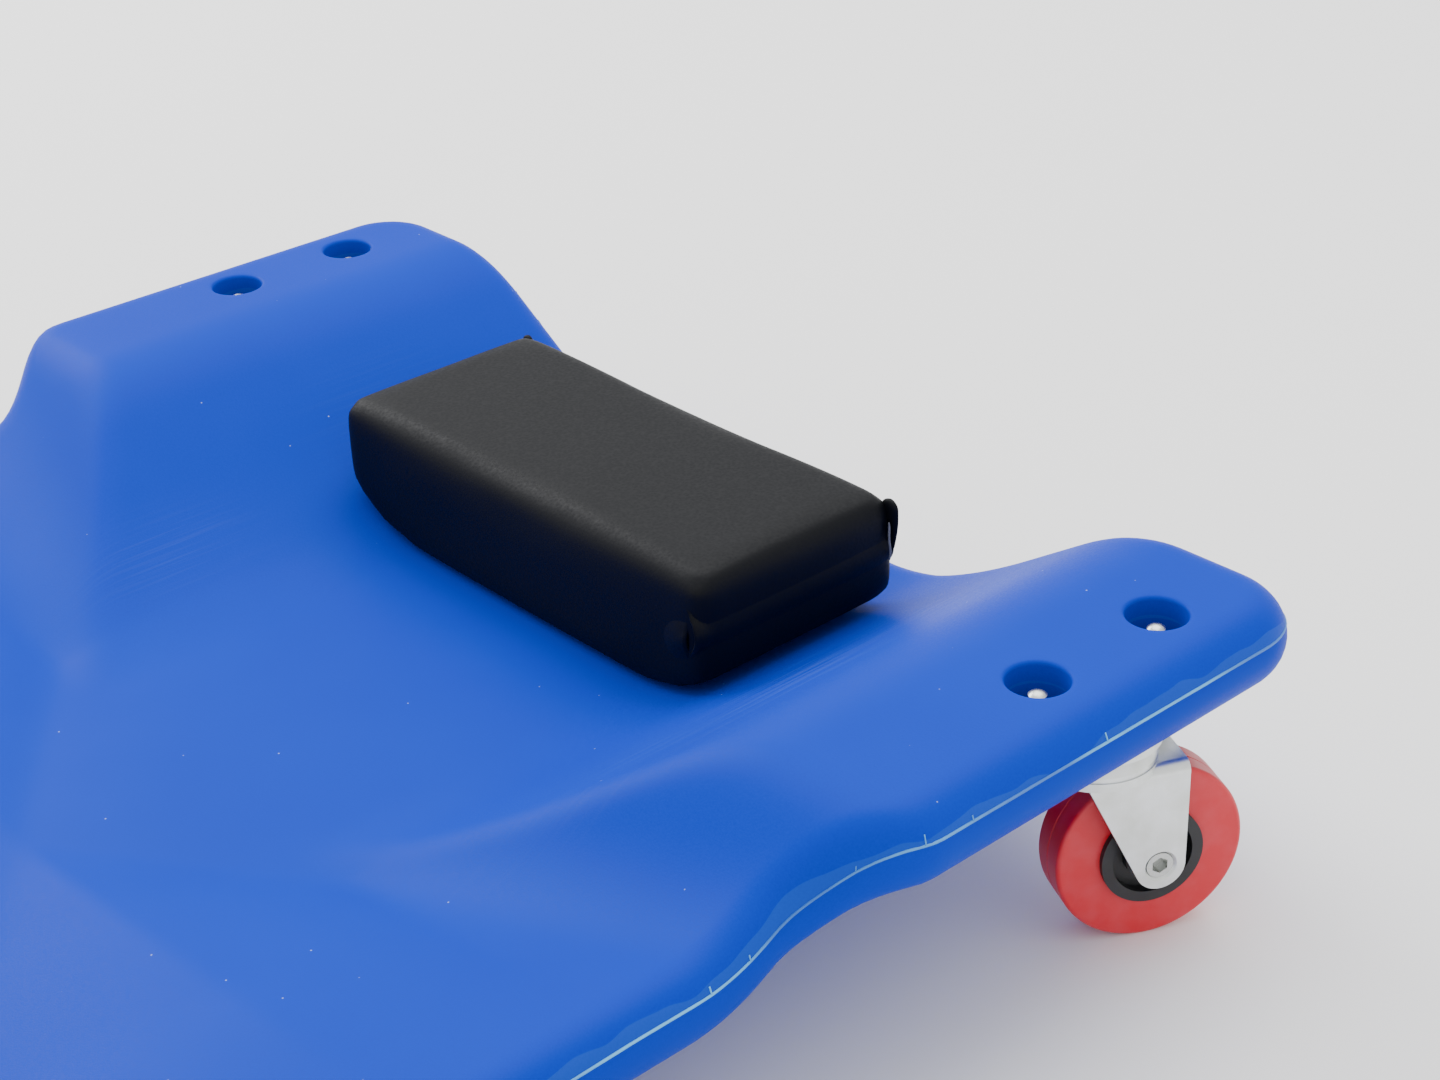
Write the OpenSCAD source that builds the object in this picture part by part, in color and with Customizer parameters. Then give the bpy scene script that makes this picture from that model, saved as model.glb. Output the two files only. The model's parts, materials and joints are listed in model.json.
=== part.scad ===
// Low mechanics creeper: a hollow blow-moulded board on six swivel casters, with a padded headrest.
// +Y points to the head end, +X to the right-hand side of a person lying on it, +Z up from the floor.

/* [Body] */
// Overall length of the board
body_length = 1016; // [960:1:1060]
// Overall width over the wings
body_width = 500; // [490:1:510]
// Width of the board between the wings
waist_width = 454; // [440:1:470]
// Height of the flat wing tops above the floor
wing_top = 107; // [107:0.5:109]
// Thickness of the double-walled board
board_thickness = 28; // [26:0.5:28]
// Thickness of one moulded wall
wall = 3; // [2.5:0.5:4]
// Depth of the lying basin below the wing tops
basin_depth = 58; // [50:1:60]
// Half width of the basin's bottom
basin_half_width = 90; // [84:1:94]
// Drop of the board's rim between the wings
waist_drop = 33; // [28:1:36]
// Plan radius of the board's four corners
corner_radius = 28; // [20:1:32]

/* [Casters] */
// Diameter of the wheels
wheel_diameter = 63.5; // [62:0.5:64]
// Width of the wheel tread
tread_width = 16; // [15:0.5:17]
// Distance of the caster centres from the board's centre line
caster_x = 221; // [218:1:224]
// Distance of the head and foot casters from the board's middle
caster_end_y = 433; // [428:1:436]
// Lengthwise place of the middle casters
caster_mid_y = -79; // [-100:1:-60]
// Spacing of a caster's two bolts
bolt_spacing = 55; // [55:0.5:57]
// Horizontal distance from the swivel axis to the axle
trail = 17; // [15:0.5:18]
// Swivel angle at which all the casters stand
caster_swing = -26; // [-180:1:180]

/* [Headrest] */
// Width of the headrest across the board
headrest_width = 200; // [190:1:204]
// Length of the headrest along the board
headrest_length = 90; // [84:1:96]
// Height of the headrest's top above the floor
headrest_top = 101; // [98:1:104]
// Distance of the headrest's centre from the board's middle
headrest_y = 422; // [416:1:426]

/* [Hidden] */
$fn = 64;
CORNERS = ["head_left", "head_right", "mid_left", "mid_right", "foot_left", "foot_right"];
CASTER_PIECES = ["caster_plate", "fork", "swivel_cover", "axle", "axle_nut", "wheel_hub", "wheel_tread",
    "wheel_bush"];

// Heights above the floor
wing_underside = wing_top - board_thickness;
basin_floor = wing_top - basin_depth;
axle_height = wheel_diameter / 2;
half_thick = board_thickness / 2;

// Lengthwise span of each flat wing top: [foot edge, head edge]
wing_foot_reach = 110;
wing_head_reach = 110;
mid_wing_foot_reach = 75;
head_wing_start = caster_end_y - wing_foot_reach;
mid_wing = [caster_mid_y - mid_wing_foot_reach, caster_mid_y + wing_head_reach];
// The valleys between the wings cross the board's centre line halfway between two wings
crossings = [(head_wing_start + mid_wing[1]) / 2, (mid_wing[0] - head_wing_start) / 2];

// Slopes of the basin's side, of a wing's end ramp and of the valley lines in plan
side_slope = 0.644;
ramp_slope = 0.9;
valley_spread = 1.415;
// Blending heights where two surfaces of the board meet
blend_wing_edge = 12;
blend_ramp_top = 8;
blend_basin = 20;
blend_valley = 3;
// The rim narrows to the waist between these distances beyond a wing's flat top
waist_start = -12;
waist_end = 30;

// Columns and rows of the board's surface meshes: both walls share them, so that the wall stays even
rim_steps = 3;
inner_rim_steps = 2;
side_columns = 10;
row_pitch = 20;

// Bolted joint of a caster: M6 bolts from below, with washer and nut in a recess of the wing top
bolt_r = 3;
bolt_hole_r = 3.3;
recess_r = 10;
recess_depth = 18;
recess_floor = wing_top - recess_depth;
pillar_r = 15;
bolt_tip = wing_top - 4.2;
bolt_head_h = 4;
bolt_flats = 10;
washer_r = 8;
washer_h = 1.2;
nut_h = 5;

// Caster plate, ball race, kingpin and fork, as heights above the floor
plate_h = 2.5;
plate_bottom = wing_underside - plate_h;
race_h = 2.5;
ball_r = 2.5;
ball_count = 14;
ball_ring_r = 12.5;
ball_z = plate_bottom - race_h - 1.8;
seat_rise = 0.4;
web_top = ball_z - ball_r - 0.3 - seat_rise;
web_h = 3;
web_bottom = web_top - web_h;
web_r = 20;
kingpin_r = 4;
kingpin_head_r = 6.5;
kingpin_head_h = 3;
running_gap = 0.06;

// Fork legs stand either side of the wheel; the axle's socket end lies flush in the +X leg
leg_outer = 16;
leg_thick = 2.5;
leg_inner = leg_outer - leg_thick;
leg_tip_r = 8.4;
leg_back = -8;
leg_shoulder = web_bottom - 1.4;
bend_r = 3.5;
axle_r = 4;
axle_end_r = 4.5;
axle_end_gap = 0.1;
axle_end_recess = 0.6;
socket_flats = 5;
socket_depth = 3.5;
axle_nut_flats = 13;
axle_nut_h = 6.5;

// Wheel: tread bonded round a nylon hub, which turns with its steel bush on the axle
wheel_r = wheel_diameter / 2;
hub_r = 17.3;
hub_half = 10;
hub_rim_r = 13.6;
hub_boss_r = 9;
hub_web_half = 6.5;
bush_r = 6;
bush_half = leg_inner - 0.3;
tread_round = 1.5;
tread_groove = 0.3;

// Headrest: vinyl cover over foam on a board, held by four screws from below
cover_thick = 1.2;
headrest_round = 7;
headrest_gap = 0.5;
board_w = 116;
board_l = 74;
board_h = 6;
board_bottom = basin_floor + 1.6;
screw_x = 50;
screw_y = 24;
screw_r = 2.4;
screw_hole_r = 2.7;
screw_head_r = 4.5;
screw_head_h = 2.4;
screw_pillar_r = 8;

// ---- The board's surface ----

function soft_min(a, b, k) =
    let (h = max(k - abs(a - b), 0) / k)
    min(a, b) - h * h * k / 4;

function soft_max(a, b, k) = -soft_min(-a, -b, k);

function smooth_step(t) =
    let (c = min(max(t, 0), 1))
    c * c * (3 - 2 * c);

// How far a lengthwise place lies outside the nearest wing, less than 0 within a wing
function outside_wing(y) =
    min(head_wing_start - abs(y), max(mid_wing[0] - y, y - mid_wing[1]));

// Half width of the board's outline at a lengthwise place, before its corners are rounded
function half_width(y) =
    let (narrow = smooth_step((outside_wing(y) - waist_start) / (waist_end - waist_start)))
    body_width / 2 + (waist_width - body_width) / 2 * narrow;

// Half width where the valley between basin and side facet runs
function valley(y) =
    let (crossing = y > mid_wing[0] ? crossings[0] : crossings[1])
    min(basin_half_width, valley_spread * abs(y - crossing));

// Height of the facet that rises from the valley to the rim
function bed_height(u, y) =
    let (v = valley(y), t = (u - v) / (waist_width / 2 - half_thick - v))
    basin_floor + (basin_depth - waist_drop) * max(t, 0);

// Height of the board's top face: wing tops, basin sides and end ramps blended over the basin's bed
function top_height(x, y) =
    let (
        u = abs(x),
        side = wing_top + side_slope * (u - basin_half_width - basin_depth / side_slope),
        ramp = wing_top - ramp_slope * (outside_wing(y) - 3),
        wing = soft_min(soft_min(wing_top, side, blend_wing_edge), ramp, blend_ramp_top),
        bed = soft_max(basin_floor, bed_height(u, y), blend_valley)
    )
    soft_max(bed, wing, blend_basin);

// Inset of an outline at the rounded corner, for a row at a distance from the board's end
function corner_inset(end_gap, r) =
    end_gap >= r ? 0 : r - sqrt(max(r * r - (r - end_gap) * (r - end_gap), 0));

// Distance of a point inside the outline from its nearest edge, with rounded corners
function rim_distance(x, y, half_w, half_l, r) =
    let (dx = half_w - abs(x), dy = half_l - abs(y))
    (dx < r && dy < r) ? r - norm([r - dx, r - dy]) : min(dx, dy);

// Half thickness of a shell whose rim is a round of the radius r
function rim_bulge(d, r) =
    let (t = min(max(d / r, 0), 1))
    r * sqrt(1 - (1 - t) * (1 - t));

// Distances from the rim of the first columns and rows, evenly spaced round the rim's curve
function rim_stations(r, n) = [for (i = [0:n]) r * (1 - cos(90 * i / n))];

// Row places from one end of the board to the other
function rows(half_l, r, n, pitch) =
    let (
        inner = half_l - r,
        count = round(2 * inner / pitch),
        edge = [for (d = rim_stations(r, n)) half_l - d]
    )
    concat([for (e = edge) -e], [for (i = [1:count - 1]) -inner + 2 * inner * i / count],
        [for (i = [n:-1:0]) edge[i]]);

// Shares of the inner half width that carry columns: even ones, and one where the flat wing top begins
plateau = (basin_half_width + (basin_depth + blend_wing_edge) / side_slope) / (body_width / 2 - half_thick);
plateau_share = min(max(plateau, (side_columns - 1.9) / side_columns), (side_columns - 1.1) / side_columns);
column_shares = concat([for (i = [1:side_columns - 2]) i / side_columns],
    [plateau_share, (side_columns - 1) / side_columns]);

// Column places across a row of a given half width
function columns(half_w, r, n) =
    let (
        inner = half_w - r,
        edge = [for (d = rim_stations(r, n)) half_w - d]
    )
    concat([for (e = edge) -e], [for (i = [len(column_shares) - 1:-1:0]) -inner * column_shares[i]], [0],
        inner * column_shares, [for (i = [n:-1:0]) edge[i]]);

// A closed shell round the board's middle surface, with its rim shared by the top and bottom sheets
module shell(inset, steps, pitch) {
    r = half_thick - inset;
    corner = corner_radius - inset;
    half_l = body_length / 2 - inset;
    ys = rows(half_l, r, steps, pitch);
    nj = len(ys);
    widths = [for (y = ys) half_width(y) - inset];
    grid = [for (j = [0:nj - 1])
        [for (x = columns(widths[j] - corner_inset(half_l - abs(ys[j]), corner), r, steps))
            [x, ys[j]]]];
    ni = len(grid[0]);
    function bulge(i, j) =
        rim_bulge(rim_distance(grid[j][i][0], ys[j], widths[j], half_l, corner), r);
    function middle(i, j) = top_height(grid[j][i][0], ys[j]) - half_thick;
    top = [for (j = [0:nj - 1]) for (i = [0:ni - 1])
        [grid[j][i][0], ys[j], middle(i, j) + bulge(i, j)]];
    bottom = [for (j = [1:nj - 2]) for (i = [1:ni - 2])
        [grid[j][i][0], ys[j], middle(i, j) - bulge(i, j)]];
    function on_rim(i, j) = i == 0 || j == 0 || i == ni - 1 || j == nj - 1;
    function up(i, j) = j * ni + i;
    function down(i, j) = on_rim(i, j) ? up(i, j) : ni * nj + (j - 1) * (ni - 2) + i - 1;
    // Diagonals fan out from the board's centre, so that the four corner cells never fold flat
    function rising(i, j) = (2 * i + 1 < ni - 1) == (2 * j + 1 < nj - 1);
    faces_up = [for (j = [0:nj - 2]) for (i = [0:ni - 2])
        let (a = up(i, j), b = up(i + 1, j), c = up(i + 1, j + 1), d = up(i, j + 1))
        each rising(i, j) ? [[a, c, b], [a, d, c]] : [[a, d, b], [b, d, c]]];
    faces_down = [for (j = [0:nj - 2]) for (i = [0:ni - 2])
        let (a = down(i, j), b = down(i + 1, j), c = down(i + 1, j + 1), d = down(i, j + 1))
        each rising(i, j) ? [[a, b, c], [a, c, d]] : [[a, b, d], [b, c, d]]];
    polyhedron(points = concat(top, bottom), faces = concat(faces_up, faces_down), convexity = 6);
}

// ---- Board ----

function caster_place(c) =
    [c % 2 == 0 ? -caster_x : caster_x, [caster_end_y, caster_mid_y, -caster_end_y][floor(c / 2)], 0];

module at_bolts() {
    for (c = [0:len(CORNERS) - 1])
        for (side = [-1, 1])
            translate(caster_place(c) + [0, side * bolt_spacing / 2, 0])
                children();
}

module at_screws() {
    for (x = [-1, 1])
        for (y = [-1, 1])
            translate([x * screw_x, headrest_y + y * screw_y, 0])
                children();
}

// Hollow double-walled board, with solid pillars round the caster bolts and the headrest screws
module body() {
    color("#2160c4")
        difference() {
            shell(0, rim_steps, row_pitch);
            difference() {
                shell(wall, inner_rim_steps, row_pitch);
                at_bolts() cylinder(r = pillar_r, h = wing_top + 1);
                at_screws() cylinder(r = screw_pillar_r, h = wing_top);
            }
            at_bolts() {
                cylinder(r = bolt_hole_r, h = wing_top);
                translate([0, 0, recess_floor])
                    cylinder(r = recess_r, h = recess_depth + 1);
            }
            at_screws() cylinder(r = screw_hole_r, h = wing_top);
        }
}

// ---- Headrest ----

// Height of the board's faceted top face halfway along the headrest, where the pad lies on it
pad_columns = columns(body_width / 2, half_thick, rim_steps);
pad_feet = [for (x = pad_columns) if (abs(x) < headrest_width / 2 - 4)
    [x, top_height(x, headrest_y) + headrest_gap]];

// Cross-section of the pad, which follows the basin below and has rounded top edges
module pad_outline(inset) {
    half_w = headrest_width / 2 - inset;
    r = headrest_round - inset;
    edge_x = headrest_width / 2;
    edge_z = top_height(edge_x, headrest_y) + 1.5 * headrest_gap;
    corner_x = half_w - r;
    corner_z = headrest_top - inset - r;
    top_right = [for (a = [0:15:90]) [corner_x + r * cos(a), corner_z + r * sin(a)]];
    top_left = [for (a = [90:15:180]) [-corner_x + r * cos(a), corner_z + r * sin(a)]];
    feet = [for (p = pad_feet) p + [0, inset]];
    polygon(concat([[-half_w, edge_z + inset]], feet, [[half_w, edge_z + inset]], top_right, top_left));
}

module pad_block(inset) {
    length = headrest_length - 2 * inset;
    translate([0, headrest_y + length / 2, 0])
        rotate([90, 0, 0])
            linear_extrude(length)
                pad_outline(inset);
}

module board_block() {
    translate([-board_w / 2, headrest_y - board_l / 2, board_bottom])
        cube([board_w, board_l, board_h]);
}

module headrest_board() {
    color("#b98f5a")
        difference() {
            board_block();
            at_screws() cylinder(r = screw_r, h = board_bottom + board_h + 1);
        }
}

module headrest_foam() {
    color("#d8cfa8")
        difference() {
            pad_block(cover_thick);
            translate([-board_w / 2, headrest_y - board_l / 2, 0])
                cube([board_w, board_l, board_bottom + board_h]);
        }
}

// Vinyl skin, wrapped under the board and open in the middle of its underside
module headrest_cover() {
    color("#141517")
        difference() {
            pad_block(0);
            pad_block(cover_thick);
            translate([-board_w / 2, headrest_y - board_l / 2, 0])
                cube([board_w, board_l, board_bottom + board_h]);
        }
}

module headrest_screws() {
    color("#c9ccd0")
        at_screws() {
            translate([0, 0, basin_floor - board_thickness - screw_head_h])
                cylinder(r = screw_head_r, h = screw_head_h);
            translate([0, 0, basin_floor - board_thickness - 0.5])
                cylinder(r = screw_r, h = board_thickness + board_bottom - basin_floor + board_h - 0.5);
        }
}

// ---- Caster bolts ----

module hexagon(flats, h) {
    cylinder(d = flats / cos(30), h = h, $fn = 6);
}

// Hexagon-head bolts from below, with domed tips
module caster_bolts() {
    tip_sphere_r = 4.35;
    color("#c9ccd0")
        at_bolts() {
            translate([0, 0, plate_bottom - bolt_head_h])
                hexagon(bolt_flats, bolt_head_h);
            intersection() {
                translate([0, 0, plate_bottom - 1])
                    cylinder(r = bolt_r, h = bolt_tip - plate_bottom + 1);
                translate([0, 0, bolt_tip - tip_sphere_r])
                    union() {
                        sphere(r = tip_sphere_r);
                        translate([0, 0, -wing_top])
                            cylinder(r = tip_sphere_r, h = wing_top);
                    }
            }
        }
}

module caster_washers() {
    color("#d4d6d8")
        at_bolts()
            translate([0, 0, recess_floor])
                difference() {
                    cylinder(r = washer_r, h = washer_h);
                    translate([0, 0, -1])
                        cylinder(r = bolt_hole_r, h = washer_h + 2);
                }
}

module caster_nuts() {
    color("#d4d6d8")
        at_bolts()
            translate([0, 0, recess_floor + washer_h])
                difference() {
                    hexagon(bolt_flats, nut_h);
                    translate([0, 0, -1])
                        cylinder(r = bolt_r, h = nut_h + 2);
                }
}

// ---- Casters ----

module at_caster(c, swing) {
    translate(caster_place(c))
        rotate([0, 0, swing])
            children();
}

// Places children on the axle, with Z along it and the socket end at +Z
module on_axle() {
    translate([0, trail, axle_height])
        rotate([0, 90, 0])
            children();
}

// Plate bolted under the wing, with the upper ball race and the kingpin's countersunk hole
module caster_plate() {
    lug_r = 12;
    race_inner_r = 8;
    race_outer_r = 16.6;
    color("#c4c8cc")
        difference() {
            union() {
                translate([0, 0, plate_bottom])
                    linear_extrude(plate_h) {
                        circle(r = web_r + 1);
                        translate([-lug_r, -bolt_spacing / 2])
                            square([2 * lug_r, bolt_spacing]);
                        for (side = [-1, 1])
                            translate([0, side * bolt_spacing / 2])
                                circle(r = lug_r);
                    }
                translate([0, 0, plate_bottom - race_h])
                    cylinder(r = race_outer_r, h = race_h);
            }
            translate([0, 0, plate_bottom - race_h - 1])
                cylinder(r = race_inner_r, h = race_h + 1);
            rotate_extrude()
                translate([ball_ring_r, ball_z])
                    circle(r = ball_r + 0.05);
            kingpin_shank();
            for (side = [-1, 1])
                translate([0, side * bolt_spacing / 2, plate_bottom - 1])
                    cylinder(r = bolt_hole_r, h = plate_h + 2);
        }
}

module kingpin_shank() {
    countersink = 1.6;
    head_bottom = web_bottom - 0.3 - kingpin_head_h;
    translate([0, 0, head_bottom + kingpin_head_h / 2])
        cylinder(r = kingpin_r, h = wing_underside - head_bottom - kingpin_head_h / 2);
    translate([0, 0, wing_underside - countersink])
        cylinder(r1 = kingpin_r, r2 = kingpin_r + countersink, h = countersink);
}

// Rivet that joins plate and fork: countersunk above, a flat head below the fork
module kingpins() {
    color("#b9bdc2")
        for (c = [0:len(CORNERS) - 1])
            at_caster(c, 0) {
                kingpin_shank();
                translate([0, 0, web_bottom - 0.3 - kingpin_head_h])
                    cylinder(r = kingpin_head_r, h = kingpin_head_h);
            }
}

module swivel_balls() {
    color("#dfe2e6")
        for (c = [0:len(CORNERS) - 1])
            at_caster(c, 0)
                for (i = [0:ball_count - 1])
                    rotate([0, 0, 360 * i / ball_count])
                        translate([ball_ring_r, 0, ball_z])
                            sphere(r = ball_r);
}

// Side view of a fork leg: a round tip on the axle, tangent to a straight front and a sloping back
module leg_side() {
    back = [leg_back, leg_shoulder];
    axle = [trail, axle_height];
    reach = norm(back - axle);
    tangent = atan2(back[1] - axle[1], back[0] - axle[0]) + acos(leg_tip_r / reach);
    translate(axle)
        circle(r = leg_tip_r);
    polygon([
        axle + leg_tip_r * [cos(tangent), sin(tangent)],
        axle + [leg_tip_r, 0],
        [trail + leg_tip_r, web_top],
        [leg_back, web_top],
        back
    ]);
}

// Front view of the fork: an upturned U with rounded shoulders
module fork_front() {
    difference() {
        union() {
            translate([-leg_outer, 0])
                square([2 * leg_outer, web_top - bend_r]);
            translate([-leg_outer + bend_r, 0])
                square([2 * (leg_outer - bend_r), web_top]);
            for (side = [-1, 1])
                translate([side * (leg_outer - bend_r), web_top - bend_r])
                    circle(r = bend_r);
        }
        translate([-leg_inner, -1])
            square([2 * leg_inner, web_bottom + 1]);
    }
}

// Stamped steel fork: two legs and a round web that turns on the kingpin
module fork() {
    dish = 0.9;
    seat_r = axle_end_r + axle_end_gap;
    color("#c9cdd1")
        difference() {
            union() {
                intersection() {
                    translate([-leg_outer - 1, 0, 0])
                        rotate([90, 0, 90])
                            linear_extrude(2 * leg_outer + 2)
                                leg_side();
                    translate([0, 2 * web_r, 0])
                        rotate([90, 0, 0])
                            linear_extrude(4 * web_r)
                                fork_front();
                }
                translate([0, 0, web_bottom + seat_rise])
                    cylinder(r = web_r, h = web_h);
            }
            translate([0, 0, web_bottom - 1])
                cylinder(r = kingpin_r + running_gap, h = web_h + 3);
            on_axle() {
                translate([0, 0, -leg_outer - 1])
                    cylinder(r = axle_r, h = leg_outer);
                cylinder(r = seat_r, h = leg_outer + 1);
                translate([0, 0, leg_outer - dish])
                    cylinder(r1 = seat_r, r2 = seat_r + dish, h = dish);
            }
        }
}

// Domed dust cover on the fork, round the ball race
module swivel_cover() {
    dome_h = 5.8;
    dome_r = 20.6;
    dome_drop = 4.7;
    mouth_r = 17;
    color("#d6d9dc")
        translate([0, 0, web_top + seat_rise])
            difference() {
                intersection() {
                    cylinder(r = web_r - 0.4, h = dome_h);
                    translate([0, 0, -dome_drop])
                        sphere(r = dome_r);
                }
                translate([0, 0, -1])
                    cylinder(r = mouth_r, h = dome_h + 2);
            }
}

module axle() {
    color("#aeb3b8")
        on_axle()
            difference() {
                union() {
                    translate([0, 0, -leg_outer - axle_nut_h - 1])
                        cylinder(r = axle_r, h = 2 * leg_outer + axle_nut_h);
                    translate([0, 0, leg_inner])
                        cylinder(r = axle_end_r, h = leg_thick - axle_end_recess);
                }
                translate([0, 0, leg_outer - axle_end_recess - socket_depth])
                    hexagon(socket_flats, socket_depth + 1);
            }
}

module axle_nut() {
    color("#c4c8cc")
        on_axle()
            translate([0, 0, -leg_outer - axle_nut_h])
                difference() {
                    hexagon(axle_nut_flats, axle_nut_h);
                    translate([0, 0, -1])
                        cylinder(r = axle_r, h = axle_nut_h + 2);
                }
}

// Nylon hub: a proud ring each side, a recessed web and a boss round the bush
module wheel_hub() {
    color("#1a1a1c")
        on_axle()
            rotate_extrude()
                polygon([
                    [bush_r, -hub_half],
                    [hub_boss_r, -hub_half],
                    [hub_boss_r, -hub_web_half],
                    [hub_rim_r, -hub_web_half],
                    [hub_rim_r, -hub_half],
                    [hub_r, -hub_half],
                    [hub_r, hub_half],
                    [hub_rim_r, hub_half],
                    [hub_rim_r, hub_web_half],
                    [hub_boss_r, hub_web_half],
                    [hub_boss_r, hub_half],
                    [bush_r, hub_half]
                ]);
}

// Polyurethane tread with rounded shoulders and a fine line round its middle
module wheel_tread() {
    half = tread_width / 2;
    shoulder = half - tread_round;
    color("#c8202c")
        on_axle()
            rotate_extrude()
                difference() {
                    union() {
                        translate([hub_r, -half])
                            square([wheel_r - tread_round - hub_r, tread_width]);
                        translate([hub_r, -shoulder])
                            square([wheel_r - hub_r, 2 * shoulder]);
                        for (side = [-1, 1])
                            translate([wheel_r - tread_round, side * shoulder])
                                circle(r = tread_round);
                    }
                    translate([wheel_r, 0])
                        circle(r = tread_groove);
                }
}

module wheel_bush() {
    color("#9aa0a6")
        on_axle()
            difference() {
                translate([0, 0, -bush_half])
                    cylinder(r = bush_r, h = 2 * bush_half);
                translate([0, 0, -bush_half - 1])
                    cylinder(r = axle_r + running_gap, h = 2 * bush_half + 2);
            }
}

body();
headrest_board();
headrest_foam();
headrest_cover();
headrest_screws();
caster_bolts();
caster_washers();
caster_nuts();
kingpins();
swivel_balls();
for (c = [0:len(CORNERS) - 1]) {
    at_caster(c, 0) caster_plate();
    at_caster(c, caster_swing) fork();
    at_caster(c, caster_swing) swivel_cover();
    at_caster(c, caster_swing) axle();
    at_caster(c, caster_swing) axle_nut();
    at_caster(c, caster_swing) wheel_hub();
    at_caster(c, caster_swing) wheel_tread();
    at_caster(c, caster_swing) wheel_bush();
}
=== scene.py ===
"""Looks of a low mechanics creeper: board surface, parting line, padded headrest, finishes and studio."""

import json
import logging
import math
from dataclasses import dataclass, field
from enum import Enum

import bpy
import numpy as np
from mathutils import Matrix, Vector
from mathutils.bvhtree import BVHTree

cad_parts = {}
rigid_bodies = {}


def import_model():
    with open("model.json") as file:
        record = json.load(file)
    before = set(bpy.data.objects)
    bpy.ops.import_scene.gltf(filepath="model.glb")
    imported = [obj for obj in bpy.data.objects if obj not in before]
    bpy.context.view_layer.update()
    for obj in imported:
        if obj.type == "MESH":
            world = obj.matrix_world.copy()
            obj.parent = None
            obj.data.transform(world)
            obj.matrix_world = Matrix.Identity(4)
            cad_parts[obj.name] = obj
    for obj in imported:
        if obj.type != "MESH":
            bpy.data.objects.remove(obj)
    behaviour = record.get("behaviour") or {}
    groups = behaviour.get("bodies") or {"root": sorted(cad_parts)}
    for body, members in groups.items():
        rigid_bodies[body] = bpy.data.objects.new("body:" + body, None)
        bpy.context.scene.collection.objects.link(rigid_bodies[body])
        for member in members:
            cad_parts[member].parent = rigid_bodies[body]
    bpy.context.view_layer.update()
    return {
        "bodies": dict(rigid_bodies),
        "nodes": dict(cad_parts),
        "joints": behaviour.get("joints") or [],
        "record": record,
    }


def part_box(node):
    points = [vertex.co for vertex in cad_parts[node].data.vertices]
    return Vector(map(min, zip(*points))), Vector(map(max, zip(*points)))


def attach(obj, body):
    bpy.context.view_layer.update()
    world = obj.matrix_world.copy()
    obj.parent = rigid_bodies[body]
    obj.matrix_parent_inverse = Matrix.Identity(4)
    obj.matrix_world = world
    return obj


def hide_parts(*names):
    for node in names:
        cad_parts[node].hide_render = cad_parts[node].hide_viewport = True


LOG = logging.getLogger("creeper")
MM = 0.001
UP = np.array([0, 0, 1.0])
CORNERS = ("head_left", "head_right", "mid_left", "mid_right", "foot_left", "foot_right")

# places closer than this, in metres, count as one, and a length never divides below the second value
NEAR = 1e-6
TINY = 1e-9

# shader node types, the mix node's sockets and the range node's inputs
NOISE = "ShaderNodeTexNoise"
CELLS = "ShaderNodeTexVoronoi"
RANGE = "ShaderNodeMapRange"
MATH = "ShaderNodeMath"
MIX = "ShaderNodeMix"
BUMP = "ShaderNodeBump"
MAPPING = "ShaderNodeMapping"
ATTRIBUTE = "ShaderNodeAttribute"
COORDINATE = "ShaderNodeTexCoord"
FACTOR, FIRST_VECTOR, SECOND_VECTOR, FIRST, SECOND = 0, 4, 5, 6, 7
VECTOR_OUT, COLOUR_OUT = 1, 2
RANGE_INPUTS = ("From Min", "From Max", "To Min", "To Max")


# ---------------------------------------------------------------- helpers


def linear(hex_colour: str) -> tuple[float, float, float, float]:
    """Turn an sRGB hex colour into linear light.

    Args:
        hex_colour: Six hexadecimal digits, such as "1c5bc8".

    Returns:
        Red, green, blue and alpha in linear light.
    """
    channels = [int(hex_colour[i : i + 2], 16) / 255 for i in (0, 2, 4)]
    curve = [c / 12.92 if c <= 0.04045 else ((c + 0.055) / 1.055) ** 2.4 for c in channels]
    return curve[0], curve[1], curve[2], 1.0


def add_node(tree: bpy.types.NodeTree, kind: str, settings: dict | None = None,
             links: dict | None = None) -> bpy.types.Node:
    """Add a shader node with its settings and links.

    Args:
        tree: The material's node tree.
        kind: The node's type name.
        settings: Attribute names, or input names and indices, with the value each takes.
        links: Input names or indices, with the socket that feeds each.

    Returns:
        The new node.
    """
    node = tree.nodes.new(kind)
    for key, value in (settings or {}).items():
        if isinstance(key, str) and hasattr(node, key):
            setattr(node, key, value)
        else:
            node.inputs[key].default_value = value
    for key, socket in (links or {}).items():
        tree.links.new(socket, node.inputs[key])
    return node


def limits(*ends: float) -> dict[str, float]:
    """Name the two ends of what comes in and the two ends of what goes out, for a range."""
    return dict(zip(RANGE_INPUTS, ends, strict=True))


def new_material(name: str) -> tuple[bpy.types.Material, bpy.types.NodeTree, bpy.types.Node]:
    """Start a material with one principled shader.

    Args:
        name: The material's name.

    Returns:
        The material, its node tree and its principled shader.
    """
    material = bpy.data.materials.new(name)
    material.use_nodes = True
    tree = material.node_tree
    tree.nodes.clear()
    shader = tree.nodes.new("ShaderNodeBsdfPrincipled")
    output = tree.nodes.new("ShaderNodeOutputMaterial")
    tree.links.new(shader.outputs["BSDF"], output.inputs["Surface"])
    return material, tree, shader


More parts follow.
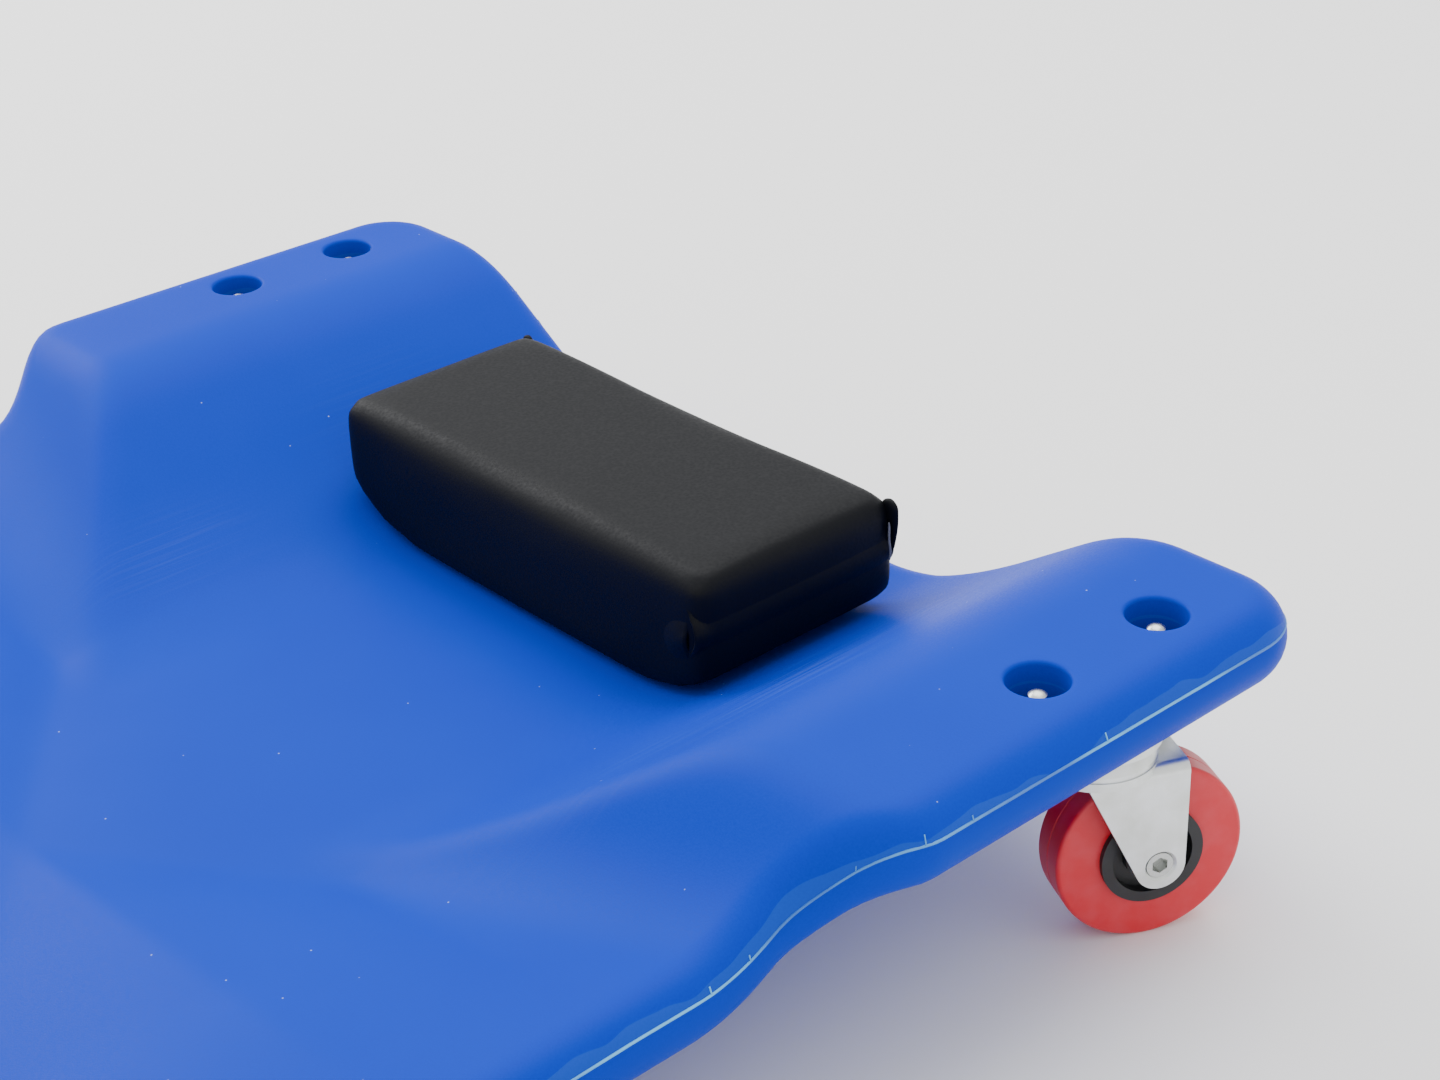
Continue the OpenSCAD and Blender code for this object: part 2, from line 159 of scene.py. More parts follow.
def make_mesh(name: str, points: np.ndarray, faces: list[np.ndarray],
              smooth: bool = True) -> bpy.types.Object:
    """Put computed points and faces into a new object at the origin.

    Args:
        name: The object's name.
        points: Vertex places, N by 3, in metres.
        faces: Arrays of vertex indices, one row for each face.
        smooth: Whether the faces shade smooth.

    Returns:
        The new object.
    """
    mesh = bpy.data.meshes.new(name)
    polygons = [face for block in faces for face in block.tolist()]
    mesh.from_pydata(points.tolist(), [], polygons)
    mesh.polygons.foreach_set("use_smooth", np.full(len(mesh.polygons), smooth))
    mesh.validate()
    mesh.update()
    piece = bpy.data.objects.new(name, mesh)
    bpy.context.scene.collection.objects.link(piece)
    return piece


def grid_faces(rows: int, columns: int, wrap_rows: bool = False, wrap_columns: bool = False) -> np.ndarray:
    """Index the quads of a grid whose vertices run along each row in turn.

    Args:
        rows: Number of rows of vertices.
        columns: Number of vertices in a row.
        wrap_rows: Whether the last row joins the first.
        wrap_columns: Whether the last column joins the first.

    Returns:
        M by 4 vertex indices, counter-clockwise when the rows run up and the columns to the right.
    """
    j, i = np.meshgrid(np.arange(rows if wrap_rows else rows - 1),
                       np.arange(columns if wrap_columns else columns - 1), indexing="ij")
    j2, i2 = (j + 1) % rows, (i + 1) % columns
    quads = [j * columns + i, j * columns + i2, j2 * columns + i2, j2 * columns + i]
    return np.stack(quads, axis=-1).reshape(-1, 4)


def capped_faces(levels: int, around: int) -> list[np.ndarray]:
    """Index the quads between level loops, and one face that closes each end.

    Args:
        levels: Number of loops, rising.
        around: Number of vertices in a loop, counter-clockwise from above.

    Returns:
        The quads, the foot's face and the top's face, all facing outwards.
    """
    loop = np.arange(around)[None]
    return [grid_faces(levels, around, wrap_columns=True), loop[:, ::-1], loop + (levels - 1) * around]


def axes_matrix(side: np.ndarray, upright: np.ndarray, away: np.ndarray, place: tuple) -> Matrix:
    """Join three axes and a place into the matrix of a camera or light, which faces against `away`."""
    matrix = np.eye(4)
    matrix[:3] = np.stack([side, upright, away, place], axis=1)
    return Matrix(matrix.tolist())


def assign(piece: bpy.types.Object, material: bpy.types.Material) -> None:
    """Give a piece one material."""
    piece.data.materials.clear()
    piece.data.materials.append(material)


def soft_min(a: np.ndarray, b: np.ndarray, k: float) -> np.ndarray:
    """Smaller of two heights, rounded by a parabola where they differ by less than k."""
    h = np.maximum(k - np.abs(a - b), 0) / k
    return np.minimum(a, b) - h * h * k / 4


def soft_max(a: np.ndarray, b: np.ndarray, k: float) -> np.ndarray:
    """Larger of two heights, rounded by a parabola where they differ by less than k."""
    return -soft_min(-a, -b, k)


def smooth_step(t: np.ndarray) -> np.ndarray:
    """Ease from 0 to 1 with level ends."""
    c = np.clip(t, 0, 1)
    return c * c * (3 - 2 * c)


def spread(stops: list[float], pitch: float) -> np.ndarray:
    """Cut the stretches between given stops into even cells.

    Args:
        stops: Places that must be kept, rising.
        pitch: Greatest cell length.

    Returns:
        All the places, rising.
    """
    parts = [np.linspace(a, b, max(int(np.ceil((b - a) / pitch)), 1), endpoint=False)
             for a, b in zip(stops[:-1], stops[1:], strict=True)]
    return np.concatenate([*parts, [stops[-1]]])


# ---------------------------------------------------------------- the board's shape


@dataclass
class BoardShape:
    """The moulded board's form, as functions of the place across (x) and along (y), in metres.

    The top face is the lowest of wing top, basin side and end ramp, blended over the basin's bed; the
    board keeps one thickness, and its rim is a half round. The parting line runs round the rim a little
    above its middle.
    """

    half_length: float
    half_width: float
    wing_top: float
    caster_x: float
    caster_end_y: float
    caster_mid_y: float
    thickness: float = 28 * MM
    waist_half: float = 227 * MM
    corner_radius: float = 28 * MM
    basin_depth: float = 58 * MM
    basin_half_width: float = 90 * MM
    waist_drop: float = 33 * MM
    wing_foot_reach: float = 110 * MM
    wing_head_reach: float = 110 * MM
    mid_wing_foot_reach: float = 75 * MM
    side_slope: float = 0.644
    ramp_slope: float = 0.9
    valley_spread: float = 1.415
    waist_start: float = -12 * MM
    waist_end: float = 30 * MM
    ramp_shift: float = 3 * MM
    side_blend: float = 12 * MM
    ramp_blend: float = 8 * MM
    bed_blend: float = 3 * MM
    basin_blend: float = 20 * MM
    bolt_spacing: float = 55 * MM
    seam_turn: float = math.radians(20)

    @property
    def round(self) -> float:
        """Radius of the rim's half round."""
        return self.thickness / 2

    @property
    def head_wing_start(self) -> float:
        """Foot-side edge of the head wing's flat top."""
        return self.caster_end_y - self.wing_foot_reach

    @property
    def mid_wing(self) -> tuple[float, float]:
        """Foot-side and head-side edges of the middle wing's flat top."""
        return self.caster_mid_y - self.mid_wing_foot_reach, self.caster_mid_y + self.wing_head_reach

    def bolts(self) -> list[tuple[float, float]]:
        """Places of the caster bolts."""
        return [(side * self.caster_x, y + end * self.bolt_spacing / 2)
                for y in (self.caster_end_y, self.caster_mid_y, -self.caster_end_y)
                for side in (-1, 1) for end in (-1, 1)]

    def outside_wing(self, y: np.ndarray) -> np.ndarray:
        """Distance of y beyond the nearest wing's flat top, negative within it."""
        foot, head = self.mid_wing
        return np.minimum(self.head_wing_start - np.abs(y), np.maximum(foot - y, y - head))

    def outline_half(self, y: np.ndarray) -> np.ndarray:
        """Half width of the outline before its corners are rounded: eased from wing to waist."""
        narrow = smooth_step((self.outside_wing(y) - self.waist_start) / (self.waist_end - self.waist_start))
        return self.half_width + (self.waist_half - self.half_width) * narrow

    def top(self, x: np.ndarray, y: np.ndarray) -> np.ndarray:
        """Height of the top face before the rim is rounded.

        The basin's bed is flat between two valley lines, which cross between neighbouring wings, and
        rises evenly from them to the waist. The wing is cut by the basin's side and by its end ramp.

        Args:
            x: Places across the board.
            y: Places along it.

        Returns:
            The heights.
        """
        u = np.abs(x)
        foot, head = self.mid_wing
        crossing = np.where(y > foot, (self.head_wing_start + head) / 2, (foot - self.head_wing_start) / 2)
        valley = np.minimum(self.basin_half_width, self.valley_spread * np.abs(y - crossing))
        floor = self.wing_top - self.basin_depth
        lift = np.maximum((u - valley) / (self.waist_half - self.round - valley), 0)
        facet = floor + (self.basin_depth - self.waist_drop) * lift
        side_foot = self.basin_half_width + self.basin_depth / self.side_slope
        side = self.wing_top + self.side_slope * (u - side_foot)
        ramp = self.wing_top - self.ramp_slope * (self.outside_wing(y) - self.ramp_shift)
        wing = soft_min(np.full_like(u, self.wing_top), side, self.side_blend)
        wing = soft_min(wing, ramp, self.ramp_blend)
        bed = soft_max(np.full_like(u, floor), facet, self.bed_blend)
        return soft_max(bed, wing, self.basin_blend)

    def rim_distance(self, x: np.ndarray, y: np.ndarray) -> np.ndarray:
        """Distance inside the outline, measured round its rounded corners."""
        r = self.corner_radius
        dx = self.outline_half(y) - np.abs(x)
        dy = self.half_length - np.abs(y)
        corner = r - np.hypot(r - dx, r - dy)
        return np.where((dx < r) & (dy < r), corner, np.minimum(dx, dy))

    def bulge(self, x: np.ndarray, y: np.ndarray) -> np.ndarray:
        """Half thickness: a quarter circle in from the rim, then constant."""
        t = np.clip(self.rim_distance(x, y) / self.round, 0, 1)
        return self.round * np.sqrt(np.clip(1 - (1 - t) ** 2, 0, 1))

    def surface_height(self, x: np.ndarray, y: np.ndarray) -> np.ndarray:
        """Height of the board's real top face, rim rounding included."""
        return self.top(x, y) - self.round + self.bulge(x, y)


@dataclass(frozen=True)
class WearSpot:
    """One rubbed place of the board: its centre, its reach across and along, and its strength."""

    x: float
    y: float
    reach_x: float
    reach_y: float
    share: float


@dataclass
class Board:
    """The blow-moulded board: one closed surface with a round recess over each caster bolt.

    The fillet at a recess's floor is a few points, each an inset from the wall and a rise from the floor,
    in millimetres.
    """

    shape: BoardShape
    pitch: float = 3.7 * MM
    block_pitch: float = 2.5 * MM
    block_half: float = 15 * MM
    rim_steps: int = 9
    seam_ring: int = 2
    recess_r: float = 10 * MM
    recess_depth: float = 18 * MM
    recess_round: float = 1.5 * MM
    lip_steps: int = 5
    floor_fillet: tuple[tuple[float, float], ...] = ((0, 1.0), (0.15, 0.4), (0.5, 0.1), (1.0, 0))
    fan_shares: tuple[float, float] = (0.35, 0.7)
    hole_r: float = 3.3 * MM
    hole_depth: float = 27 * MM
    wear: tuple[WearSpot, ...] = (
        WearSpot(0.135, 0.41, 0.022, 0.08, 1.0),
        WearSpot(-0.13, 0.42, 0.02, 0.03, 0.2),
        WearSpot(-0.11, 0.30, 0.012, 0.03, 0.25),
        WearSpot(-0.15, 0.17, 0.012, 0.04, 0.25),
        WearSpot(0.14, -0.12, 0.03, 0.07, 0.4),
        WearSpot(-0.14, -0.10, 0.03, 0.07, 0.4),
        WearSpot(0.0, -0.40, 0.06, 0.06, 0.4),
    )
    points: np.ndarray = field(init=False)
    seam_loop: np.ndarray = field(init=False)

    def rim_insets(self) -> np.ndarray:
        """Insets of the grid lines round the rim's quarter circle, at even angles, rising from 0."""
        angles = np.linspace(0, np.pi / 2, self.rim_steps + 1)[:-1]
        return self.shape.round * (1 - np.cos(angles))

    def rows(self) -> np.ndarray:
        """Places of the mesh's rows along the board, closer round the rim and the recesses."""
        s = self.shape
        edge = s.half_length - s.round
        rim = s.half_length - self.rim_insets()
        centres = sorted({y for _, y in s.bolts()})
        stops = [-edge, *[c + e * self.block_half for c in centres for e in (-1, 1)], edge]
        inner = [spread([a, b], self.block_pitch if k % 2 else self.pitch)[:-1]
                 for k, (a, b) in enumerate(zip(stops[:-1], stops[1:], strict=True))]
        return np.concatenate([-rim, *inner, [edge], rim[::-1]])

    def grid(self, ys: np.ndarray) -> tuple[np.ndarray, np.ndarray]:
        """Places of the mesh's vertices in plan: each row is stretched to the outline's width there.

        Args:
            ys: Places of the rows.

        Returns:
            X and Y grids.
        """
        s = self.shape
        gap = np.clip(s.half_length - np.abs(ys), 0, s.corner_radius)
        inset = s.corner_radius - np.sqrt(s.corner_radius**2 - (s.corner_radius - gap) ** 2)
        half = s.outline_half(ys) - inset
        full = s.half_width - s.round
        block = s.caster_x - self.block_half
        side = np.linspace(block / full, 1, int(round(2 * self.block_half / self.block_pitch)) + 1)
        middle = spread([-block / full, block / full], self.pitch / full)
        inner = np.concatenate([-side[::-1][:-1], middle, side[1:]])
        rim = self.rim_insets()
        xs = np.concatenate([-half[:, None] + rim, (half[:, None] - s.round) * inner,
                             half[:, None] - rim[::-1]], axis=1)
        return xs, np.repeat(ys[:, None], xs.shape[1], axis=1)

    def recess_profile(self) -> np.ndarray:
        """Radius and depth along a recess, from its rounded lip down its wall, floor and bolt hole."""
        lip = np.linspace(np.pi / 2, np.pi, self.lip_steps + 1)
        r = self.recess_r + self.recess_round + self.recess_round * np.cos(lip)
        z = -self.recess_round + self.recess_round * np.sin(lip)
        inset, rise = np.array(self.floor_fillet).T * MM
        foot = np.stack([self.recess_r - inset, rise - self.recess_depth], 1)
        hole = np.array([[self.hole_r, -self.recess_depth], [self.hole_r, -self.hole_depth],
                         [0, -self.hole_depth]])
        return np.concatenate([np.stack([r, z], 1), foot, hole])

    def build(self) -> bpy.types.Object:
        """Make the board's mesh.

        The top and bottom sheets are height fields over one plan grid and share their rim. Each recess
        replaces a square block of cells: rings run from the block's edge to the recess's lip and then
        carry its profile round the bolt's axis.

        Returns:
            The board.
        """
        s = self.shape
        ys = self.rows()
        xs, yy = self.grid(ys)
        nj, ni = xs.shape
        middle = s.top(xs, yy) - s.round
        bulge = s.bulge(xs, yy)
        bulge[[0, -1], :] = 0
        bulge[:, [0, -1]] = 0
        top = np.stack([xs, yy, middle + bulge], axis=-1).reshape(-1, 3)
        bottom = np.stack([xs, yy, middle - bulge], axis=-1)[1:-1, 1:-1].reshape(-1, 3)
        up = np.arange(nj * ni).reshape(nj, ni)
        down = up.copy()
        down[1:-1, 1:-1] = nj * ni + np.arange((nj - 2) * (ni - 2)).reshape(nj - 2, ni - 2)
        quads = grid_faces(nj, ni)
        keep = np.ones((nj - 1, ni - 1), bool)
        blocks = []
        for x, y in s.bolts():
            rows = np.flatnonzero(np.abs(ys - y) <= self.block_half + NEAR)
            columns = np.flatnonzero(np.abs(xs[rows[0]] - x) <= self.block_half + NEAR)
            keep[rows[0] : rows[-1], columns[0] : columns[-1]] = False
            blocks.append((x, y, self.border(up[rows[0] : rows[-1] + 1, columns[0] : columns[-1] + 1])))
        points, faces = [top, bottom], [quads[keep.ravel()], down.ravel()[quads][:, ::-1]]
        count = len(top) + len(bottom)
        for x, y, ring in blocks:
            patch, patch_faces = self.recess(x, y, top[ring], ring, count)
            points.append(patch)
            faces.extend(patch_faces)
            count += len(patch)
        self.points = np.concatenate(points)
        k = self.seam_ring
        self.seam_loop = top[self.border(up[k : nj - k, k : ni - k])]
        piece = make_mesh("board_surface", self.points, faces)
        self.mark_seam(piece)
        self.mark_wear(piece)
        return piece

    @staticmethod
    def border(block: np.ndarray) -> np.ndarray:
        """Read the indices round the edge of a block of the grid, counter-clockwise from its corner."""
        return np.concatenate([block[0, :-1], block[:-1, -1], block[-1, :0:-1], block[:0:-1, 0]])

    def recess(self, x: float, y: float, edge: np.ndarray, ring: np.ndarray,
               first: int) -> tuple[np.ndarray, list[np.ndarray]]:
        """Make one recess.

        Args:
            x: Bolt's place across the board.
            y: Bolt's place along the board.
            edge: Points of the block's edge, counter-clockwise.
            ring: Their vertex indices.
            first: Index of the patch's first new vertex.

        Returns:
            The new points, and the faces as arrays of indices.
        """
        profile = self.recess_profile()
        n = len(ring)
        angle = np.arctan2(edge[:, 1] - y, edge[:, 0] - x)
        circle = np.stack([np.cos(angle), np.sin(angle)], axis=-1)
        lip = np.concatenate([circle * profile[0, 0] + [x, y], edge[:, 2:]], axis=1)
        fans = [edge + (lip - edge) * t for t in self.fan_shares]
        walls = [np.concatenate([circle * r + [x, y], np.full((n, 1), self.shape.wing_top + z)], axis=1)
                 for r, z in profile[:-1]]
        pole = np.array([[x, y, self.shape.wing_top + profile[-1, 1]]])
        rings = np.stack([*fans, *walls])
        index = np.concatenate([ring[None], first + np.arange(rings.shape[0] * n).reshape(-1, n)])
        after = np.roll(index, -1, axis=1)
        quads = np.stack([index[:-1], after[:-1], after[1:], index[1:]], axis=-1).reshape(-1, 4)
        last = np.full(n, first + rings.shape[0] * n)
        cap = np.stack([index[-1], after[-1], last], axis=-1)
        return np.concatenate([rings.reshape(-1, 3), pole]), [quads, cap]

    def mark_wear(self, piece: bpy.types.Object) -> None:
        """Store how much each vertex is rubbed, from 0 to 1: soft spots where hands and the pad slide."""
        x, y, _ = self.points.T
        share = sum(w.share * np.exp(-((x - w.x) / w.reach_x) ** 2 - ((y - w.y) / w.reach_y) ** 2)
                    for w in self.wear)
        wear = piece.data.attributes.new("wear", "FLOAT", "POINT")
        wear.data.foreach_set("value", np.clip(share, 0, 1).astype(np.float32))

    def mark_seam(self, piece: bpy.types.Object) -> None:
        """Store each vertex's height above the parting line, round the rim's curve, in millimetres."""
        s = self.shape
        x, y, z = self.points.T
        d = np.clip(s.rim_distance(x, y) / s.round, 0, 1)
        arc = s.round * np.arccos(1 - d) / MM
        sign = np.where(z >= s.top(x, y) - s.round, 1, -1)
        seam = piece.data.attributes.new("seam", "FLOAT", "POINT")
        seam.data.foreach_set("value", (arc * sign - s.round * s.seam_turn / MM).astype(np.float32))


@dataclass
class PartingFlash:
    """The thin flash left along the mould's parting line, with the nicks of the trimming tool.

    The ridge's section is given as shares of how far it stands out and how high it is.
    """

    shape: BoardShape
    loop: np.ndarray
    step: float = 3 * MM
    stand: float = 0.3 * MM
    stand_spread: tuple[float, float] = (0.1, 1.9)
    stand_average: int = 5
    height: float = 0.4 * MM
    section: tuple[tuple[float, float], ...] = (
        (-0.8, -1.4), (0.7, -0.5), (1.0, 0.1), (0.6, 0.6), (-0.8, 1.4))
    tick_pitch: float = 19 * MM
    tick_jitter: float = 2 * MM
    tick_share: float = 0.62
    tick_height: float = 3.4 * MM
    tick_least: float = 0.5
    tick_width: float = 0.4 * MM
    tick_lean: float = 0.4
    tick_levels: int = 4
    tick_proud: float = 0.2 * MM
    tick_sunk: float = 0.3 * MM
    seed: int = 7

    def path(self) -> tuple[np.ndarray, np.ndarray, np.ndarray]:
        """Even points round the rim, their outward directions and their lengths along the rim."""
        loop = np.concatenate([self.loop, self.loop[:1]])
        steps = np.linalg.norm(np.diff(loop, axis=0), axis=1)
        length = np.concatenate([[0], np.cumsum(steps)])
        count = int(length[-1] / self.step)
        s = np.linspace(0, length[-1], count, endpoint=False)
        points = np.stack([np.interp(s, length, loop[:, k]) for k in range(3)], axis=1)
        along = np.roll(points, -1, axis=0) - np.roll(points, 1, axis=0)
        out = np.stack([along[:, 1], -along[:, 0], np.zeros(count)], axis=1)
        return points, out / np.linalg.norm(out, axis=1, keepdims=True), s

    def build(self) -> bpy.types.Object:
        """Sweep a low ridge round the rim, its height wandering, and lay the nicks across it.

        Returns:
            The flash.
        """
        rng = np.random.default_rng(self.seed)
        points, out, s = self.path()
        n = len(s)
        window = np.ones(self.stand_average) / self.stand_average
        wander = np.convolve(np.tile(rng.uniform(*self.stand_spread, n), 3), window, "same")[n : 2 * n]
        stand = self.stand * wander[:, None]
        ridge = np.stack([points + out * stand * a + UP * self.height * b for a, b in self.section], axis=1)
        ridge_faces = grid_faces(n, len(self.section), wrap_rows=True, wrap_columns=True)
        ticks, tick_faces = self.ticks(points, out, s, rng, ridge.size // 3)
        return make_mesh("parting_flash", np.concatenate([ridge.reshape(-1, 3), ticks]),
                         [ridge_faces, tick_faces])

    def ticks(self, points: np.ndarray, out: np.ndarray, s: np.ndarray, rng: np.random.Generator,
              first: int) -> tuple[np.ndarray, np.ndarray]:
        """Lay short upright nicks against the rim's curve above the parting line.

        Args:
            points: Points of the parting line.
            out: Outward directions there.
            s: Lengths along the line.
            rng: Source of the nicks' wander.
            first: Index of the first new vertex.

        Returns:
            The nicks' points and faces.
        """
        r, turn = self.shape.round, self.shape.seam_turn
        places = np.arange(0, s[-1], self.tick_pitch)
        count = int(np.ceil(s[-1] / self.tick_pitch))
        places = places + rng.uniform(-self.tick_jitter, self.tick_jitter, count)
        places = places[rng.uniform(size=len(places)) < self.tick_share]
        k = np.clip(np.searchsorted(s, places), 1, len(s) - 2)
        along = points[k + 1] - points[k - 1]
        along /= np.linalg.norm(along, axis=1, keepdims=True)
        outward, along = out[k][:, None], along[:, None]
        rise = self.tick_height * rng.uniform(self.tick_least, 1.0, len(k))
        t = np.linspace(0, 1, self.tick_levels)
        angle = (turn + rise[:, None] / r * t)[..., None]
        base = (points[k][:, None] - outward * (r * (math.cos(turn) - np.cos(angle)))
                + UP * (r * (np.sin(angle) - math.sin(turn))))
        lean = along * (t * self.tick_lean * self.tick_width)[None, :, None]
        normal = outward * np.cos(angle) + UP * np.sin(angle)
        half = along * self.tick_width / 2
        corners = [(-1, -self.tick_sunk), (-1, self.tick_proud), (1, self.tick_proud), (1, -self.tick_sunk)]
        ring = np.stack([base + lean + side * half + depth * normal for side, depth in corners], axis=2)
        one = np.concatenate(capped_faces(self.tick_levels, len(corners)))
        size = self.tick_levels * len(corners)
        faces = (one[None] + first + size * np.arange(len(k))[:, None, None]).reshape(-1, 4)
        return ring.reshape(-1, 3), faces


# ---------------------------------------------------------------- the headrest


@dataclass(frozen=True)
class Fold:
    """How one folded patch of vinyl stands on the pad.

    Its sides are sunk into the pad, its middle stands proud, and its free edge curls back over a share
    of its width. It may dip behind its neighbours by a little, and more towards its ends.
    """

    columns: int
    stand: float
    dip: float
    curl: float
    curl_share: float


@dataclass
class Headrest:
    """The padded headrest: a foam block in grained vinyl, wrapped and folded at its ends."""

    shape: BoardShape
    low: tuple[float, float, float]
    high: tuple[float, float, float]
    slack_low: tuple[float, float, float] = (8 * MM, -1.2 * MM, 0.0)
    slack_high: tuple[float, float, float] = (-1.2 * MM, 3 * MM, 0.0)
    corner_round: float = 3.5 * MM
    top_round: float = 7 * MM
    foot_round: float = 5 * MM
    end_lift: float = 5 * MM
    end_reach: float = 28 * MM
    gap: float = 0.6 * MM
    side_steps: int = 32
    arc_steps: int = 5
    wall_steps: int = 9
    cap_shares: tuple[float, ...] = (0.02, 0.3, 0.6, 0.85)
    voxel: float = 4 * MM
    pressure: float = 4.0
    tension: float = 30
    bending: float = 3
    held_height: float = 3 * MM
    frames: int = 20
    cap: float = 1.2 * MM
    smoothings: int = 40
    vinyl: float = 1.1 * MM
    fold_rows: int = 31
    fold_foot: float = 4 * MM
    fold_trim: float = 12 * MM
    fold_sunk: float = 1.6 * MM
    fold_power: float = 0.6
    free: float = 8 * MM
    ray_start: float = 30 * MM
    ray_spare: float = 32 * MM
    lip: Fold = Fold(columns=41, stand=2.8 * MM, dip=0.6 * MM, curl=1.3 * MM, curl_share=0.06)
    lip_start: float = 30 * MM
    lip_width: float = 26.5 * MM
    lip_draw: float = 4 * MM
    lip_rise: float = 0.85
    end: Fold = Fold(columns=57, stand=2.2 * MM, dip=0.8 * MM, curl=1.6 * MM, curl_share=0.04)
    end_near: float = 3.6 * MM
    end_draw: float = 3.8 * MM
    end_far: float = 2 * MM
    ears: tuple[tuple[int, float, float], ...] = ((1, 3.9 * MM, 31 * MM), (-1, 2.6 * MM, 18 * MM))
    ear_drop: float = 1.8 * MM
    ear_levels: int = 41
    ear_around: int = 24
    ear_inset: float = 2.4 * MM
    ear_depth: float = 1.5 * MM
    ear_swell: float = 0.8
    ear_close: float = 0.12
    least: float = 0.02
    tuck: float = 3 * MM
    tuck_share: float = 0.4
    raw_levels: int = 40
    raw_around: int = 8
    raw_radius: float = 0.42 * MM
    raw_out: float = 0.1 * MM
    raw_back: float = 5.2 * MM
    raw_drop: float = 9 * MM
    raw_height: float = 15 * MM
    raw_sway: tuple[float, float] = (0.3 * MM, 0.2 * MM)
    raw_turns: tuple[float, float] = (5, 9)

    @property
    def far(self) -> float:
        """Place of the pad's head-side face."""
        return self.high[1] + self.slack_high[1]

    def bed(self, x: np.ndarray, y: np.ndarray) -> np.ndarray:
        """Height of the pad's underside: just off the board, and lifted a little at its ends."""
        centre = (self.high[0] + self.slack_high[0] + self.low[0] - self.slack_low[0]) / 2
        inner = self.high[0] - centre - self.end_reach
        reach = np.clip((np.abs(x - centre) - inner) / self.end_reach, 0, 1)
        return self.shape.surface_height(x, y) + self.gap + self.end_lift * reach**2

    def block(self, name: str) -> bpy.types.Object:
        """Make the pad's first shape: a stack of rounded rectangles whose underside follows the board.

        Each level is the outline drawn in by an inset: quarter circles at the top and foot edges and
        none between. It stands at a share of the way from the foot edge's curve to the top edge's, and
        the curves' own rise is added. Loops drawn towards the centre close the two ends.

        Args:
            name: The piece's name.

        Returns:
            The pad.
        """
        low, high = np.array(self.low) - self.slack_low, np.array(self.high) + self.slack_high
        centre, half = (low + high)[:2] / 2, (high - low)[:2] / 2
        side = np.linspace(-1, 1, self.side_steps + 1)[:-1]
        one = np.ones(self.side_steps)
        square = np.concatenate([np.stack(pair, 1) for pair in
                                 ((side, -one), (one, side), (-side, one), (-one, -side))])
        arc = np.linspace(0, np.pi / 2, self.arc_steps + 1)
        levels = [(self.foot_round * (1 - math.cos(a)), -self.foot_round * math.sin(a), 0.0)
                  for a in arc[::-1]]
        levels += [(0.0, 0.0, t) for t in np.linspace(0, 1, self.wall_steps + 1)]
        levels += [(self.top_round * (1 - math.cos(a)), self.top_round * math.sin(a), 1.0) for a in arc]
        loops = []
        for inset, rise, share in levels:
            inner_half = half - inset
            q = square * inner_half
            inner = np.clip(q, self.corner_round - inner_half, inner_half - self.corner_round)
            rest = q - inner
            rest /= np.maximum(np.linalg.norm(rest, axis=1, keepdims=True), TINY)
            loops.append((centre + inner + rest * self.corner_round, rise, share))
        foot, crown = ([(centre + (plan - centre) * k, rise, share) for k in self.cap_shares]
                       for plan, rise, share in (loops[0], loops[-1]))
        points = []
        for plan, rise, share in [*foot, *loops, *crown[::-1]]:
            bottom = self.bed(plan[:, 0], plan[:, 1]) + self.foot_round
            z = bottom + (high[2] - self.top_round - bottom) * share + rise
            points.append(np.concatenate([plan, z[:, None]], axis=1))
        stack = np.stack(points)
        return make_mesh(name, stack.reshape(-1, 3), capped_faces(*stack.shape[:2]))

    def simulate(self, piece: bpy.types.Object) -> None:
        """Swell the pad as cloth under a little pressure, with its underside held.

        Args:
            piece: The pad, which keeps its new shape.
        """
        scene = bpy.context.scene
        before = self.read(piece)
        group = piece.vertex_groups.new(name="held")
        held = np.flatnonzero(before[:, 2] < self.bed(before[:, 0], before[:, 1]) + self.held_height)
        group.add(held.tolist(), 1.0, "REPLACE")
        cloth = piece.modifiers.new("vinyl", "CLOTH")
        cloth.settings.use_pressure = True
        cloth.settings.uniform_pressure_force = self.pressure
        cloth.settings.effector_weights.gravity = 0
        cloth.settings.vertex_group_mass = "held"
        cloth.settings.tension_stiffness = self.tension
        cloth.settings.bending_stiffness = self.bending
        cloth.point_cache.frame_start = 1
        cloth.point_cache.frame_end = self.frames
        for frame in range(1, self.frames + 1):
            scene.frame_set(frame)
        evaluated = piece.evaluated_get(bpy.context.evaluated_depsgraph_get())
        after = self.read(evaluated)
        piece.modifiers.remove(cloth)
        scene.frame_set(1)
        move = self.even_out(piece, after - before)
        length = np.maximum(np.linalg.norm(move, axis=1, keepdims=True), TINY)
        LOG.info("pad swells %.1f mm at most", float(length.max()) / MM)
        settled = before + move * np.minimum(1, self.cap / length)
        piece.data.vertices.foreach_set("co", settled.ravel())
        piece.vertex_groups.clear()
        piece.data.update()

    def even_out(self, piece: bpy.types.Object, move: np.ndarray) -> np.ndarray:
        """Average each vertex's move with its neighbours', several times, so that no sharp buckles stay.

        Args:
            piece: The pad.
            move: Each vertex's move, N by 3.

        Returns:
            The evened moves.
        """
        edges = np.empty(len(piece.data.edges) * 2, int)
        piece.data.edges.foreach_get("vertices", edges)
        a, b = edges.reshape(-1, 2).T
        count = np.bincount(edges, minlength=len(move))[:, None]
        for _ in range(self.smoothings):
            total = np.zeros_like(move)
            np.add.at(total, a, move[b])
            np.add.at(total, b, move[a])
            move = 0.5 * move + 0.5 * total / np.maximum(count, 1)
        return move

    def settle(self, piece: bpy.types.Object) -> None:
        """Keep the pad off the board that it rests on."""
        p = self.read(piece)
        p[:, 2] = np.maximum(p[:, 2], self.shape.surface_height(p[:, 0], p[:, 1]) + self.gap)
        piece.data.vertices.foreach_set("co", p.ravel())
        piece.data.update()

